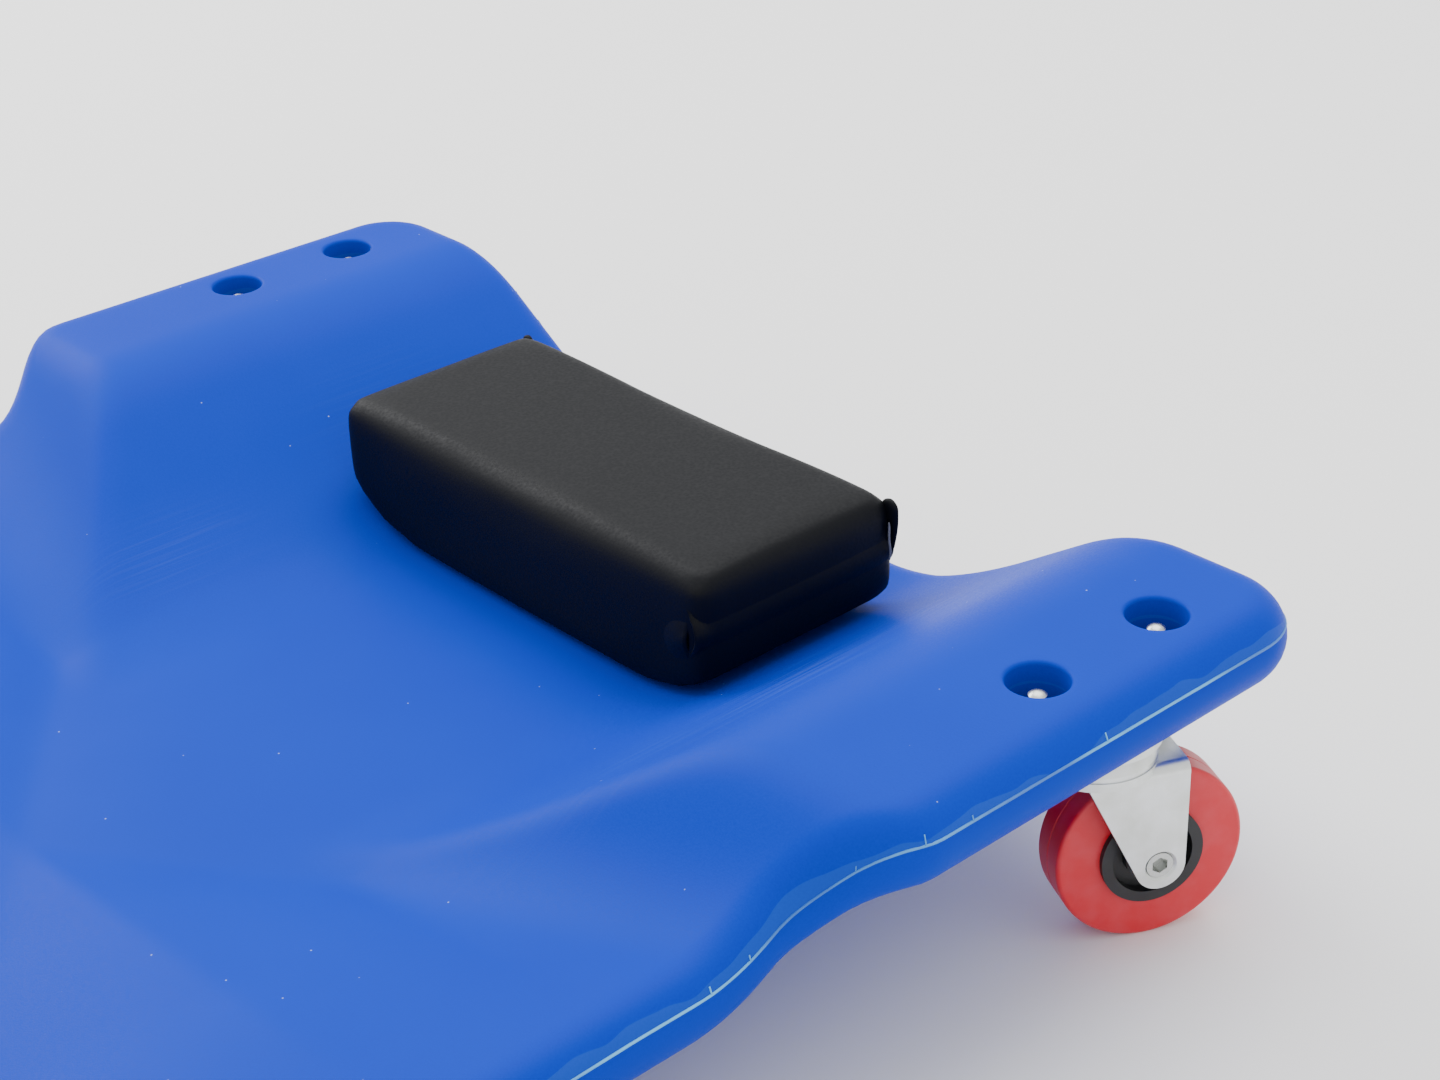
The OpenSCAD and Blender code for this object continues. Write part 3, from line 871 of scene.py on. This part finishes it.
    @staticmethod
    def read(piece: bpy.types.Object) -> np.ndarray:
        """Read the vertex places of a piece, N by 3."""
        p = np.empty(len(piece.data.vertices) * 3)
        piece.data.vertices.foreach_get("co", p)
        return p.reshape(-1, 3)

    @staticmethod
    def apply(piece: bpy.types.Object, modifier: bpy.types.Modifier, **settings) -> None:
        """Set a modifier and apply it."""
        for key, value in settings.items():
            setattr(modifier, key, value)
        bpy.context.view_layer.objects.active = piece
        bpy.ops.object.modifier_apply(modifier=modifier.name)

    def build(self) -> bpy.types.Object:
        """Make the pad.
        """
        piece = self.block("headrest_pad")
        self.apply(piece, piece.modifiers.new("even", "REMESH"), mode="VOXEL", voxel_size=self.voxel)
        self.simulate(piece)
        self.settle(piece)
        self.apply(piece, piece.modifiers.new("smooth", "SUBSURF"), levels=1, render_levels=1)
        self.settle(piece)
        piece.data.polygons.foreach_set("use_smooth", np.full(len(piece.data.polygons), True))
        return piece

    @staticmethod
    def meet(tree: BVHTree, start: np.ndarray, way: tuple[float, float, float],
             spare: np.ndarray) -> np.ndarray:
        """Find where rays from outside first meet the pad.

        Args:
            tree: The pad's surface.
            start: Starting points, N by 3.
            way: The rays' direction.
            spare: Points to use where a ray misses.

        Returns:
            Points on the pad, N by 3.
        """
        hits = [tree.ray_cast(Vector(p), Vector(way))[0] for p in start]
        return np.array([s if h is None else tuple(h) for h, s in zip(hits, spare, strict=True)])

    def panel(self, name: str, points: np.ndarray) -> bpy.types.Object:
        """Give a computed patch of vinyl its thickness, inwards from the points."""
        piece = make_mesh(name, points.reshape(-1, 3), [grid_faces(*points.shape[:2])])
        self.apply(piece, piece.modifiers.new("sheet", "SOLIDIFY"), thickness=self.vinyl, offset=-1.0)
        return piece

    def patch(self, fold: Fold) -> tuple[np.ndarray, np.ndarray, np.ndarray, np.ndarray]:
        """Lay out a folded patch of vinyl.

        Args:
            fold: The patch's settings.

        Returns:
            Shares across and up it, the half wave that opens its gap, a sine raised to a small power so
            that it opens quickly at both ends, and how far it stands proud, eased from 0 at both ends to
            1 at half height.
        """
        u, v = np.meshgrid(np.linspace(0, 1, fold.columns), np.linspace(0, 1, self.fold_rows))
        wave = np.sin(np.pi * v) ** self.fold_power
        return u, v, wave, smooth_step(2 * v) * smooth_step(2 * (1 - v))

    def fold_height(self, bottom: np.ndarray, v: np.ndarray) -> np.ndarray:
        """Rise from a little above the pad's underside to a little below its top edge."""
        return bottom + self.fold_foot + (self.high[2] - self.fold_trim - bottom) * v

    def front_lip(self, tree: BVHTree) -> bpy.types.Object:
        """Make the front panel's turned edge beside the right-hand end.

        The patch leaves the front face gradually and stands off it by about 1 mm at half height; its
        free edge is drawn back in a half wave, so that a crescent gap opens before the end panel.

        Args:
            tree: The pad's surface.

        Returns:
            The lip.
        """
        fold = self.lip
        u, v, wave, ease = self.patch(fold)
        x = self.high[0] - self.lip_start + (self.lip_width - self.lip_draw * wave) * u
        front = np.full_like(x, self.low[1])
        z = self.fold_height(self.bed(x, front), v)
        start = np.stack([x, front - self.ray_start, z], axis=-1).reshape(-1, 3)
        y = self.meet(tree, start, (0, 1, 0), start + [0, self.ray_spare, 0])[:, 1].reshape(u.shape)
        y = np.minimum(y, y[:, :1] + fold.dip + self.free * (1 - wave))
        off = fold.stand * smooth_step(u / self.lip_rise) * ease - self.fold_sunk
        curl = fold.curl * np.clip((u - 1 + fold.curl_share) / fold.curl_share, 0, 1) ** 2
        return self.panel("headrest_lip", np.stack([x, y - off + curl, z], axis=-1))

    def end_panel(self, tree: BVHTree) -> bpy.types.Object:
        """Make the vinyl folded over the right-hand end, from the crescent gap to the far edge.

        Args:
            tree: The pad's surface.

        Returns:
            The panel.
        """
        fold = self.end
        u, v, wave, ease = self.patch(fold)
        near = self.low[1] + self.end_near - self.end_draw * wave
        y = near + (self.far - self.end_far - near) * u
        end = np.full_like(y, self.high[0])
        z = self.fold_height(self.bed(end, y), v)
        start = np.stack([end + self.ray_start, y, z], axis=-1).reshape(-1, 3)
        x = self.meet(tree, start, (-1, 0, 0), start - [self.ray_spare, 0, 0])[:, 0].reshape(u.shape)
        middle = x[:, fold.columns // 2, None]
        x = np.maximum(x, middle - fold.dip - self.free * (1 - wave))
        off = fold.stand * ease - self.fold_sunk
        curl = fold.curl * np.clip((fold.curl_share - u) / fold.curl_share, 0, 1) ** 2
        return self.panel("headrest_end_panel", np.stack([x + off - curl, y, z], axis=-1))

    def ear(self, side: int, stand: float, height: float) -> bpy.types.Object:
        """Make the folded loop of vinyl that stands out along a far corner.

        Its level cuts are ellipses; their reach grows up the corner and closes in a round top.

        Args:
            side: 1 for the +X end and -1 for the other.
            stand: How far it stands out.
            height: Its height.

        Returns:
            The ear.
        """
        v = np.sin(np.linspace(0, np.pi / 2, self.ear_levels))
        over = np.clip(v - 1 + self.ear_close, 0, 1) / self.ear_close
        close = np.sqrt(np.clip(1 - over**2, 0, 1))
        swell = (smooth_step(v / self.ear_swell) * close + self.least)[:, None]
        angle = np.linspace(0, 2 * np.pi, self.ear_around, endpoint=False)
        inward = self.ear_inset + self.tuck * np.clip(1 - v / self.tuck_share, 0, 1)[:, None]
        end = self.high[0] if side > 0 else -(self.low[0] - self.slack_low[0])
        x = end - inward + stand * swell * np.cos(angle)
        y = self.far - inward + self.ear_depth * (0.3 + 0.7 * swell) * np.sin(angle)
        z = np.repeat((self.high[2] - self.ear_drop - height * (1 - v))[:, None], len(angle), axis=1)
        points = np.stack([side * x, y, z], axis=-1).reshape(-1, 3)
        name = "headrest_ear_" + ("right" if side > 0 else "left")
        return make_mesh(name, points, [f[:, ::side] for f in capped_faces(len(v), len(angle))])

    def raw_edge(self) -> bpy.types.Object:
        """Make the cut edge of the vinyl, with its pale backing, where it is folded in at the far corner.

        Returns:
            The edge: a thin bead that sways a little on its way up, with blunt ends.
        """
        v = np.linspace(0, 1, self.raw_levels)[:, None]
        angle = np.linspace(0, 2 * np.pi, self.raw_around, endpoint=False)
        radius = self.raw_radius * np.sqrt(np.clip(1 - (2 * v - 1) ** 8, self.least, 1))
        sway_x, sway_y = (a * np.sin(k * v) for a, k in zip(self.raw_sway, self.raw_turns, strict=True))
        x = self.high[0] + self.raw_out + sway_x + radius * np.cos(angle)
        y = self.far - self.raw_back + sway_y + radius * np.sin(angle)
        z = np.repeat(self.high[2] - self.raw_drop - self.raw_height * (1 - v), len(angle), axis=1)
        return make_mesh("headrest_raw_edge", np.stack([x, y, z], axis=-1).reshape(-1, 3),
                         capped_faces(self.raw_levels, self.raw_around))


# ---------------------------------------------------------------- finishes


class Metal(Enum):
    """How a steel piece's surface was made."""

    STAMPED = "stamped"
    TURNED = "turned"
    POLISHED = "polished"


@dataclass(frozen=True)
class BoardPlastic:
    """High-density polyethylene, blow moulded in a fine-textured mould: waxy blue with pale specks."""

    colour: str = "002fae"
    pale: str = "0d44cc"
    gloss: float = 0.06
    speck: str = "c9dcf5"
    # colour of the painted light band on the rim just above the parting line
    painted_rim_light: str = "4d7fc0"
    ior: float = 1.5
    cloud: float = 111.1 * MM
    # the mould's real grain is finer than the picture can show, so it is drawn coarser
    grain: float = 0.7 * MM
    grain_depth: float = 0.12 * MM
    mottle: float = 0.16
    roughness: tuple[float, float] = (0.4, 0.56)
    speck_pitch: float = 13 * MM
    speck_core: float = 0.014
    speck_edge: float = 0.028
    speck_share: float = 0.6
    scuff_length: float = 70 * MM
    scuff_width: float = 1.1 * MM
    scuff_share: float = 0.13
    # the painted light band: size of its wavy edge, its reach above the parting line and its foot below it in
    # millimetres, and its strength
    band_wave: float = 45.45 * MM
    band_reach_mm: tuple[float, float] = (0.5, 6.5)
    band_foot_mm: float = -0.6
    band_share: float = 0.15

    def make(self) -> bpy.types.Material:
        """Build the material.

        Returns:
            The material: cloudy blue, specks, lengthwise rubbing streaks, a painted light band on the rim
            just above the parting line and a fine moulded grain.
        """
        material, tree, shader = new_material("moulded_polyethylene")
        place = add_node(tree, COORDINATE).outputs["Object"]
        cloud = add_node(tree, NOISE, {"Scale": 1 / self.cloud, "Detail": 3.0}, {"Vector": place})
        grain = add_node(tree, NOISE, {"Scale": 1 / self.grain, "Detail": 2.0}, {"Vector": place})
        base = add_node(tree, MIX, {"data_type": "RGBA", "clamp_result": True,
                                    FIRST: linear(self.colour), SECOND: linear(self.pale)})
        tone = add_node(tree, RANGE, limits(0.35, 0.75, 0, self.mottle), {"Value": cloud.outputs["Fac"]})
        fine = add_node(tree, RANGE, limits(0.3, 0.7, 0, self.mottle), {"Value": grain.outputs["Fac"]})
        both = add_node(tree, MATH, {"operation": "ADD"},
                        {0: tone.outputs["Result"], 1: fine.outputs["Result"]})
        tree.links.new(both.outputs[0], base.inputs[FACTOR])

        cells = add_node(tree, CELLS, {"Scale": 1 / self.speck_pitch}, {"Vector": place})
        dot = add_node(tree, RANGE, limits(self.speck_core, self.speck_edge, self.speck_share, 0),
                       {"Value": cells.outputs["Distance"]})
        specked = add_node(tree, MIX, {"data_type": "RGBA", SECOND: linear(self.speck)},
                           {FACTOR: dot.outputs["Result"], FIRST: base.outputs[COLOUR_OUT]})

        stretch = add_node(tree, MAPPING,
                           {"Scale": (1 / self.scuff_width, 1 / self.scuff_length, 1 / self.scuff_length)},
                           {"Vector": place})
        streak = add_node(tree, NOISE, {"Scale": 1.0, "Detail": 2.0, "Roughness": 0.6},
                          {"Vector": stretch.outputs[0]})
        wear = add_node(tree, ATTRIBUTE, {"attribute_name": "wear"}).outputs["Fac"]
        line = add_node(tree, RANGE, limits(0.48, 0.8, 0, self.scuff_share), {"Value": streak.outputs["Fac"]})
        scuff = add_node(tree, MATH, {"operation": "MULTIPLY"}, {0: wear, 1: line.outputs["Result"]})
        scuffed = add_node(tree, MIX, {"data_type": "RGBA", SECOND: linear(self.speck)},
                           {FACTOR: scuff.outputs[0], FIRST: specked.outputs[COLOUR_OUT]})

        # painted light: a pale band on the rim, from just below the parting line up to a wavy edge 0.5 to 6.5
        # mm above it
        seam = add_node(tree, ATTRIBUTE, {"attribute_name": "seam"}).outputs["Fac"]
        wave = add_node(tree, NOISE, {"Scale": 1 / self.band_wave, "Detail": 2.0}, {"Vector": place})
        reach = add_node(tree, RANGE, limits(0.35, 0.65, *self.band_reach_mm), {"Value": wave.outputs["Fac"]})
        below = add_node(tree, MATH, {"operation": "LESS_THAN"}, {0: seam, 1: reach.outputs["Result"]})
        above = add_node(tree, MATH, {"operation": "GREATER_THAN", 1: self.band_foot_mm}, {0: seam})
        band = add_node(tree, MATH, {"operation": "MULTIPLY"},
                        {0: below.outputs[0], 1: above.outputs[0]})
        share = add_node(tree, MATH, {"operation": "MULTIPLY", 1: self.band_share}, {0: band.outputs[0]})
        final = add_node(tree, MIX, {"data_type": "RGBA", SECOND: linear(self.painted_rim_light)},
                         {FACTOR: share.outputs[0], FIRST: scuffed.outputs[COLOUR_OUT]})
        tree.links.new(final.outputs[COLOUR_OUT], shader.inputs["Base Color"])

        rough = add_node(tree, RANGE, limits(0.3, 0.7, *self.roughness), {"Value": grain.outputs["Fac"]})
        tree.links.new(rough.outputs["Result"], shader.inputs["Roughness"])
        bump = add_node(tree, BUMP, {"Strength": 0.25, "Distance": self.grain_depth},
                        {"Height": grain.outputs["Fac"]})
        tree.links.new(bump.outputs[0], shader.inputs["Normal"])
        shader.inputs["IOR"].default_value = self.ior
        shader.inputs["Specular IOR Level"].default_value = self.gloss
        return material


@dataclass(frozen=True)
class FlashPlastic:
    """The same polyethylene stretched thin at the parting line, where it whitens to a pale cyan."""

    colour: str = "2f6fc4"
    pale: str = "58b4ec"
    stretch: float = 71.43 * MM
    roughness: float = 0.38

    def make(self) -> bpy.types.Material:
        """Build the material: blue that whitens in stretches along the line."""
        material, tree, shader = new_material("trimmed_polyethylene")
        place = add_node(tree, COORDINATE).outputs["Object"]
        noise = add_node(tree, NOISE, {"Scale": 1 / self.stretch, "Detail": 4.0}, {"Vector": place})
        share = add_node(tree, RANGE, limits(0.42, 0.6, 0, 1), {"Value": noise.outputs["Fac"]})
        mix = add_node(tree, MIX,
                       {"data_type": "RGBA", FIRST: linear(self.colour), SECOND: linear(self.pale)},
                       {FACTOR: share.outputs["Result"]})
        tree.links.new(mix.outputs[COLOUR_OUT], shader.inputs["Base Color"])
        shader.inputs["Roughness"].default_value = self.roughness
        return material


@dataclass(frozen=True)
class Vinyl:
    """Plasticised vinyl on a knitted backing, embossed with a fine leather grain: black, soft sheen."""

    name: str = "embossed_vinyl"
    colour: str = "05070c"
    worn: str = "090b10"
    gloss: float = 0.15
    ior: float = 1.5
    # the embossing's real pebbles are finer than the picture can show, so they are drawn coarser
    grain: float = 1.1 * MM
    grain_depth: float = 0.1 * MM
    grain_warp: float = 0.6 * MM
    pore_share: float = 0.4
    cloud: float = 38.46 * MM
    worn_share: float = 0.45
    roughness: tuple[float, float] = (0.62, 0.46)

    def make(self) -> bpy.types.Material:
        """Build the material: embossed pebbles with pores, and faint cloudy paler patches."""
        material, tree, shader = new_material(self.name)
        place = add_node(tree, COORDINATE).outputs["Object"]
        warp = add_node(tree, NOISE, {"Scale": 0.5 / self.grain, "Detail": 2.0}, {"Vector": place})
        shifted = add_node(tree, MIX, {"data_type": "VECTOR", FACTOR: self.grain_warp},
                           {FIRST_VECTOR: place, SECOND_VECTOR: warp.outputs["Color"]})
        pebble = add_node(tree, CELLS, {"Scale": 1 / self.grain, "feature": "SMOOTH_F1"},
                          {"Vector": shifted.outputs[VECTOR_OUT]})
        pore = add_node(tree, NOISE, {"Scale": 3 / self.grain, "Detail": 3.0}, {"Vector": place})
        height = add_node(tree, MATH, {"operation": "MULTIPLY_ADD", 1: self.pore_share},
                          {0: pore.outputs["Fac"], 2: pebble.outputs["Distance"]})
        cloud = add_node(tree, NOISE, {"Scale": 1 / self.cloud, "Detail": 3.0}, {"Vector": place})
        share = add_node(tree, RANGE, limits(0.4, 0.75, 0, self.worn_share), {"Value": cloud.outputs["Fac"]})
        mix = add_node(tree, MIX,
                       {"data_type": "RGBA", FIRST: linear(self.colour), SECOND: linear(self.worn)},
                       {FACTOR: share.outputs["Result"]})
        tree.links.new(mix.outputs[COLOUR_OUT], shader.inputs["Base Color"])
        rough = add_node(tree, RANGE, limits(0, 0.8, *self.roughness), {"Value": pebble.outputs["Distance"]})
        tree.links.new(rough.outputs["Result"], shader.inputs["Roughness"])
        bump = add_node(tree, BUMP, {"Strength": 0.35, "Distance": self.grain_depth},
                        {"Height": height.outputs[0]})
        tree.links.new(bump.outputs[0], shader.inputs["Normal"])
        shader.inputs["IOR"].default_value = self.ior
        shader.inputs["Specular IOR Level"].default_value = self.gloss
        return material


@dataclass(frozen=True)
class KnittedBacking:
    """Cotton knit on the back of the vinyl, showing where it was cut: pale grey and fibrous."""

    colour: str = "8d8f94"
    shade: str = "3a3b3f"
    stitch: float = 0.5 * MM
    roughness: float = 0.9

    def make(self) -> bpy.types.Material:
        """Build the material: dull, with a mottle one stitch wide."""
        material, tree, shader = new_material("knitted_cotton_backing")
        place = add_node(tree, COORDINATE).outputs["Object"]
        knit = add_node(tree, NOISE, {"Scale": 1 / self.stitch, "Detail": 2.0}, {"Vector": place})
        mix = add_node(tree, MIX,
                       {"data_type": "RGBA", FIRST: linear(self.shade), SECOND: linear(self.colour)},
                       {FACTOR: knit.outputs["Fac"]})
        tree.links.new(mix.outputs[COLOUR_OUT], shader.inputs["Base Color"])
        shader.inputs["Roughness"].default_value = self.roughness
        return material


@dataclass(frozen=True)
class Steel:
    """Bright zinc-plated steel: stamped sheet, turned bar or polished balls."""

    name: str
    kind: Metal
    colour: str = "e6e9ea"
    tint: str = "cfd2cc"
    roughness: float = 0.34
    cloud: float = 100 / 9 * MM
    cloud_share: float = 0.8
    # rolling and turning marks are finer than the picture can show, so they are drawn coarser
    rolling_width: float = 2 / 3 * MM
    rolling_length: float = 50 / 3 * MM
    turning: float = 10 / 3 * MM
    mark_depth: float = 0.05 * MM

    def make(self) -> bpy.types.Material:
        """Build the material: cloudy plating with fine rolling or turning marks."""
        material, tree, shader = new_material(self.name)
        place = add_node(tree, COORDINATE).outputs["Object"]
        cloud = add_node(tree, NOISE, {"Scale": 1 / self.cloud, "Detail": 4.0}, {"Vector": place})
        rolled = (self.rolling_width, self.rolling_width, self.rolling_length)
        sizes = rolled if self.kind is Metal.STAMPED else (self.turning,) * 3
        stretch = add_node(tree, MAPPING, {"Scale": tuple(1 / size for size in sizes)}, {"Vector": place})
        marks = add_node(tree, NOISE, {"Scale": 1.0, "Detail": 2.0}, {"Vector": stretch.outputs[0]})
        share = add_node(tree, RANGE, limits(0.35, 0.7, 0, self.cloud_share), {"Value": cloud.outputs["Fac"]})
        mix = add_node(tree, MIX,
                       {"data_type": "RGBA", FIRST: linear(self.colour), SECOND: linear(self.tint)},
                       {FACTOR: share.outputs["Result"]})
        tree.links.new(mix.outputs[COLOUR_OUT], shader.inputs["Base Color"])
        rough = add_node(tree, RANGE, limits(0.3, 0.7, self.roughness - 0.06, self.roughness + 0.1),
                         {"Value": marks.outputs["Fac"]})
        tree.links.new(rough.outputs["Result"], shader.inputs["Roughness"])
        bump = add_node(tree, BUMP, {"Strength": 0.12, "Distance": self.mark_depth},
                        {"Height": marks.outputs["Fac"]})
        tree.links.new(bump.outputs[0], shader.inputs["Normal"])
        shader.inputs["Metallic"].default_value = 1.0
        return material


@dataclass(frozen=True)
class WheelPolymer:
    """A cast or moulded wheel plastic: glossy red polyurethane, or dull black nylon."""

    name: str
    colour: str
    dust: str
    roughness: float
    dust_share: float
    ior: float = 1.5
    cloud: float = 25 / 3 * MM
    # real rubbing marks are finer than the picture can show, so they are drawn coarser
    rubbing: float = 5 / 9 * MM
    rubbing_depth: float = 0.04 * MM

    def make(self) -> bpy.types.Material:
        """Build the material: even colour under a thin cloudy film of dust, with fine rubbing."""
        material, tree, shader = new_material(self.name)
        place = add_node(tree, COORDINATE).outputs["Object"]
        cloud = add_node(tree, NOISE, {"Scale": 1 / self.cloud, "Detail": 5.0}, {"Vector": place})
        fine = add_node(tree, NOISE, {"Scale": 1 / self.rubbing, "Detail": 2.0}, {"Vector": place})
        share = add_node(tree, RANGE, limits(0.4, 0.8, 0, self.dust_share), {"Value": cloud.outputs["Fac"]})
        mix = add_node(tree, MIX,
                       {"data_type": "RGBA", FIRST: linear(self.colour), SECOND: linear(self.dust)},
                       {FACTOR: share.outputs["Result"]})
        tree.links.new(mix.outputs[COLOUR_OUT], shader.inputs["Base Color"])
        rough = add_node(tree, RANGE, limits(0.35, 0.65, self.roughness - 0.05, self.roughness + 0.08),
                         {"Value": cloud.outputs["Fac"]})
        tree.links.new(rough.outputs["Result"], shader.inputs["Roughness"])
        bump = add_node(tree, BUMP, {"Strength": 0.1, "Distance": self.rubbing_depth},
                        {"Height": fine.outputs["Fac"]})
        tree.links.new(bump.outputs[0], shader.inputs["Normal"])
        shader.inputs["IOR"].default_value = self.ior
        return material


@dataclass
class CasterSet:
    """The six casters' CAD pieces and the finish that each kind takes."""

    stamped: bpy.types.Material
    turned: bpy.types.Material
    polished: bpy.types.Material
    tread: bpy.types.Material
    hub: bpy.types.Material

    def dress(self, nodes: dict[str, bpy.types.Object]) -> None:
        """Give every CAD piece of the casters its finish.

        Args:
            nodes: The frame's CAD nodes by name.
        """
        per_corner = {"caster_plate": self.stamped, "fork": self.stamped, "swivel_cover": self.stamped,
                      "axle": self.turned, "axle_nut": self.turned, "wheel_hub": self.hub,
                      "wheel_tread": self.tread, "wheel_bush": self.turned}
        for kind, material in per_corner.items():
            for corner in CORNERS:
                assign(nodes[f"{kind}_{corner}"], material)
        for name in ("caster_bolts", "caster_washers", "caster_nuts", "kingpins", "headrest_screws"):
            assign(nodes[name], self.turned)
        assign(nodes["swivel_balls"], self.polished)


# ---------------------------------------------------------------- the studio


@dataclass(frozen=True)
class Lamp:
    """One soft square light: where it hangs, the point that it faces, its side and its power in watts."""

    name: str
    place: tuple[float, float, float]
    aim: tuple[float, float, float]
    size: float
    power: float


@dataclass
class Studio:
    """Plain pale floor, soft lights and the camera."""

    floor_size: float = 14.0
    floor_colour: str = "fafafa"
    floor_roughness: float = 0.9
    sky_colour: str = "ffffff"
    sky_strength: float = 1.25
    lamps: tuple[Lamp, ...] = (
        Lamp("overhead", (-0.4, 1.1, 2.4), (0, 0.2, 0), 2.2, 50),
        Lamp("left", (-2.2, 0.2, 1.6), (0, 0.2, 0.05), 1.6, 50),
    )
    focal_mm: float = 62.8
    sensor_mm: float = 36.0
    eye: tuple[float, float, float] = (0.6420, -0.0804, 0.5014)
    yaw: float = math.radians(49.21)
    pitch: float = math.radians(28.35)
    roll: float = math.radians(-2.31)

    def camera(self) -> bpy.types.Object:
        """Place the camera: yawed left from the head direction, tilted down and rolled a little."""
        cy, sy = math.cos(self.yaw), math.sin(self.yaw)
        cp, sp = math.cos(self.pitch), math.sin(self.pitch)
        forward = np.array([-sy * cp, cy * cp, -sp])
        right = np.array([cy, sy, 0.0])
        up = np.cross(right, forward)
        turned = math.cos(self.roll) * right + math.sin(self.roll) * up
        upright = -math.sin(self.roll) * right + math.cos(self.roll) * up
        data = bpy.data.cameras.new("camera")
        data.sensor_width = self.sensor_mm
        data.lens = self.focal_mm
        camera = bpy.data.objects.new("camera", data)
        camera.matrix_world = axes_matrix(turned, upright, -forward, self.eye)
        bpy.context.scene.collection.objects.link(camera)
        bpy.context.scene.camera = camera
        return camera

    def floor(self) -> None:
        """Lay the floor."""
        h = self.floor_size / 2
        points = np.array([[-h, -h, 0], [h, -h, 0], [h, h, 0], [-h, h, 0]])
        piece = make_mesh("floor", points, [np.array([[0, 1, 2, 3]])], smooth=False)
        material, _, shader = new_material("matt_studio_paper")
        shader.inputs["Base Color"].default_value = linear(self.floor_colour)
        shader.inputs["Roughness"].default_value = self.floor_roughness
        assign(piece, material)

    def light(self, lamp: Lamp) -> None:
        """Hang one lamp, facing its aim."""
        data = bpy.data.lights.new(lamp.name, "AREA")
        data.size = lamp.size
        data.energy = lamp.power
        light = bpy.data.objects.new(lamp.name, data)
        away = np.array(lamp.place, float) - np.array(lamp.aim, float)
        away /= np.linalg.norm(away)
        side = np.cross([0, 1, 0] if abs(away[2]) > 0.95 else [0, 0, 1], away)
        side /= np.linalg.norm(side)
        light.matrix_world = axes_matrix(side, np.cross(away, side), away, lamp.place)
        bpy.context.scene.collection.objects.link(light)

    def build(self) -> None:
        """Set up the whole studio."""
        world = bpy.data.worlds.new("studio")
        world.use_nodes = True
        sky = world.node_tree.nodes["Background"]
        sky.inputs["Color"].default_value = linear(self.sky_colour)
        sky.inputs["Strength"].default_value = self.sky_strength
        bpy.context.scene.world = world
        self.floor()
        for lamp in self.lamps:
            self.light(lamp)
        self.camera()


def main() -> None:
    """Build the pieces in order and report each one."""
    logging.basicConfig(level=logging.INFO, format="%(name)s: %(message)s")
    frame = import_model()
    nodes = frame["nodes"]
    Studio().build()

    low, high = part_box("body")
    head_low, head_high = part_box("caster_plate_head_right")
    mid_low, mid_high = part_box("caster_plate_mid_right")
    shape = BoardShape(half_length=high.y, half_width=high.x, wing_top=high.z,
                       caster_x=(head_low.x + head_high.x) / 2, caster_end_y=(head_low.y + head_high.y) / 2,
                       caster_mid_y=(mid_low.y + mid_high.y) / 2)
    board = Board(shape)
    surface = board.build()
    assign(surface, BoardPlastic().make())
    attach(surface, "root")
    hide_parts("body")
    LOG.info("board: %d vertices", len(surface.data.vertices))

    flash = PartingFlash(shape, board.seam_loop).build()
    assign(flash, FlashPlastic().make())
    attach(flash, "root")
    LOG.info("parting flash: %d vertices", len(flash.data.vertices))

    pad_low, pad_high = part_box("headrest_cover")
    headrest = Headrest(shape, tuple(pad_low), tuple(pad_high))
    pad = headrest.build()
    vinyl = Vinyl().make()
    assign(pad, vinyl)
    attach(pad, "root")
    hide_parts("headrest_cover", "headrest_foam", "headrest_board")
    tree = BVHTree.FromObject(pad, bpy.context.evaluated_depsgraph_get())
    LOG.info("headrest: %d vertices", len(pad.data.vertices))

    folds = [headrest.front_lip(tree), headrest.end_panel(tree)]
    folds += [headrest.ear(*ear) for ear in headrest.ears]
    edge = headrest.raw_edge()
    for fold in (*folds, edge):
        assign(fold, vinyl)
        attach(fold, "root")
        LOG.info("%s: %d vertices", fold.name, len(fold.data.vertices))
    assign(edge, KnittedBacking().make())

    CasterSet(
        stamped=Steel("zinc_plated_sheet", Metal.STAMPED, roughness=0.36).make(),
        turned=Steel("zinc_plated_fastener", Metal.TURNED, colour="bfc1c0", roughness=0.28).make(),
        polished=Steel("polished_ball_steel", Metal.POLISHED, colour="d8dadb", roughness=0.12).make(),
        tread=WheelPolymer("cast_polyurethane", "cc1426", "d8606a", 0.4, 0.3).make(),
        hub=WheelPolymer("moulded_nylon", "141518", "3c3c3f", 0.5, 0.4).make(),
    ).dress(nodes)
    LOG.info("casters: %d sets of pieces", len(CORNERS))


if __name__ == "__main__":
    main()
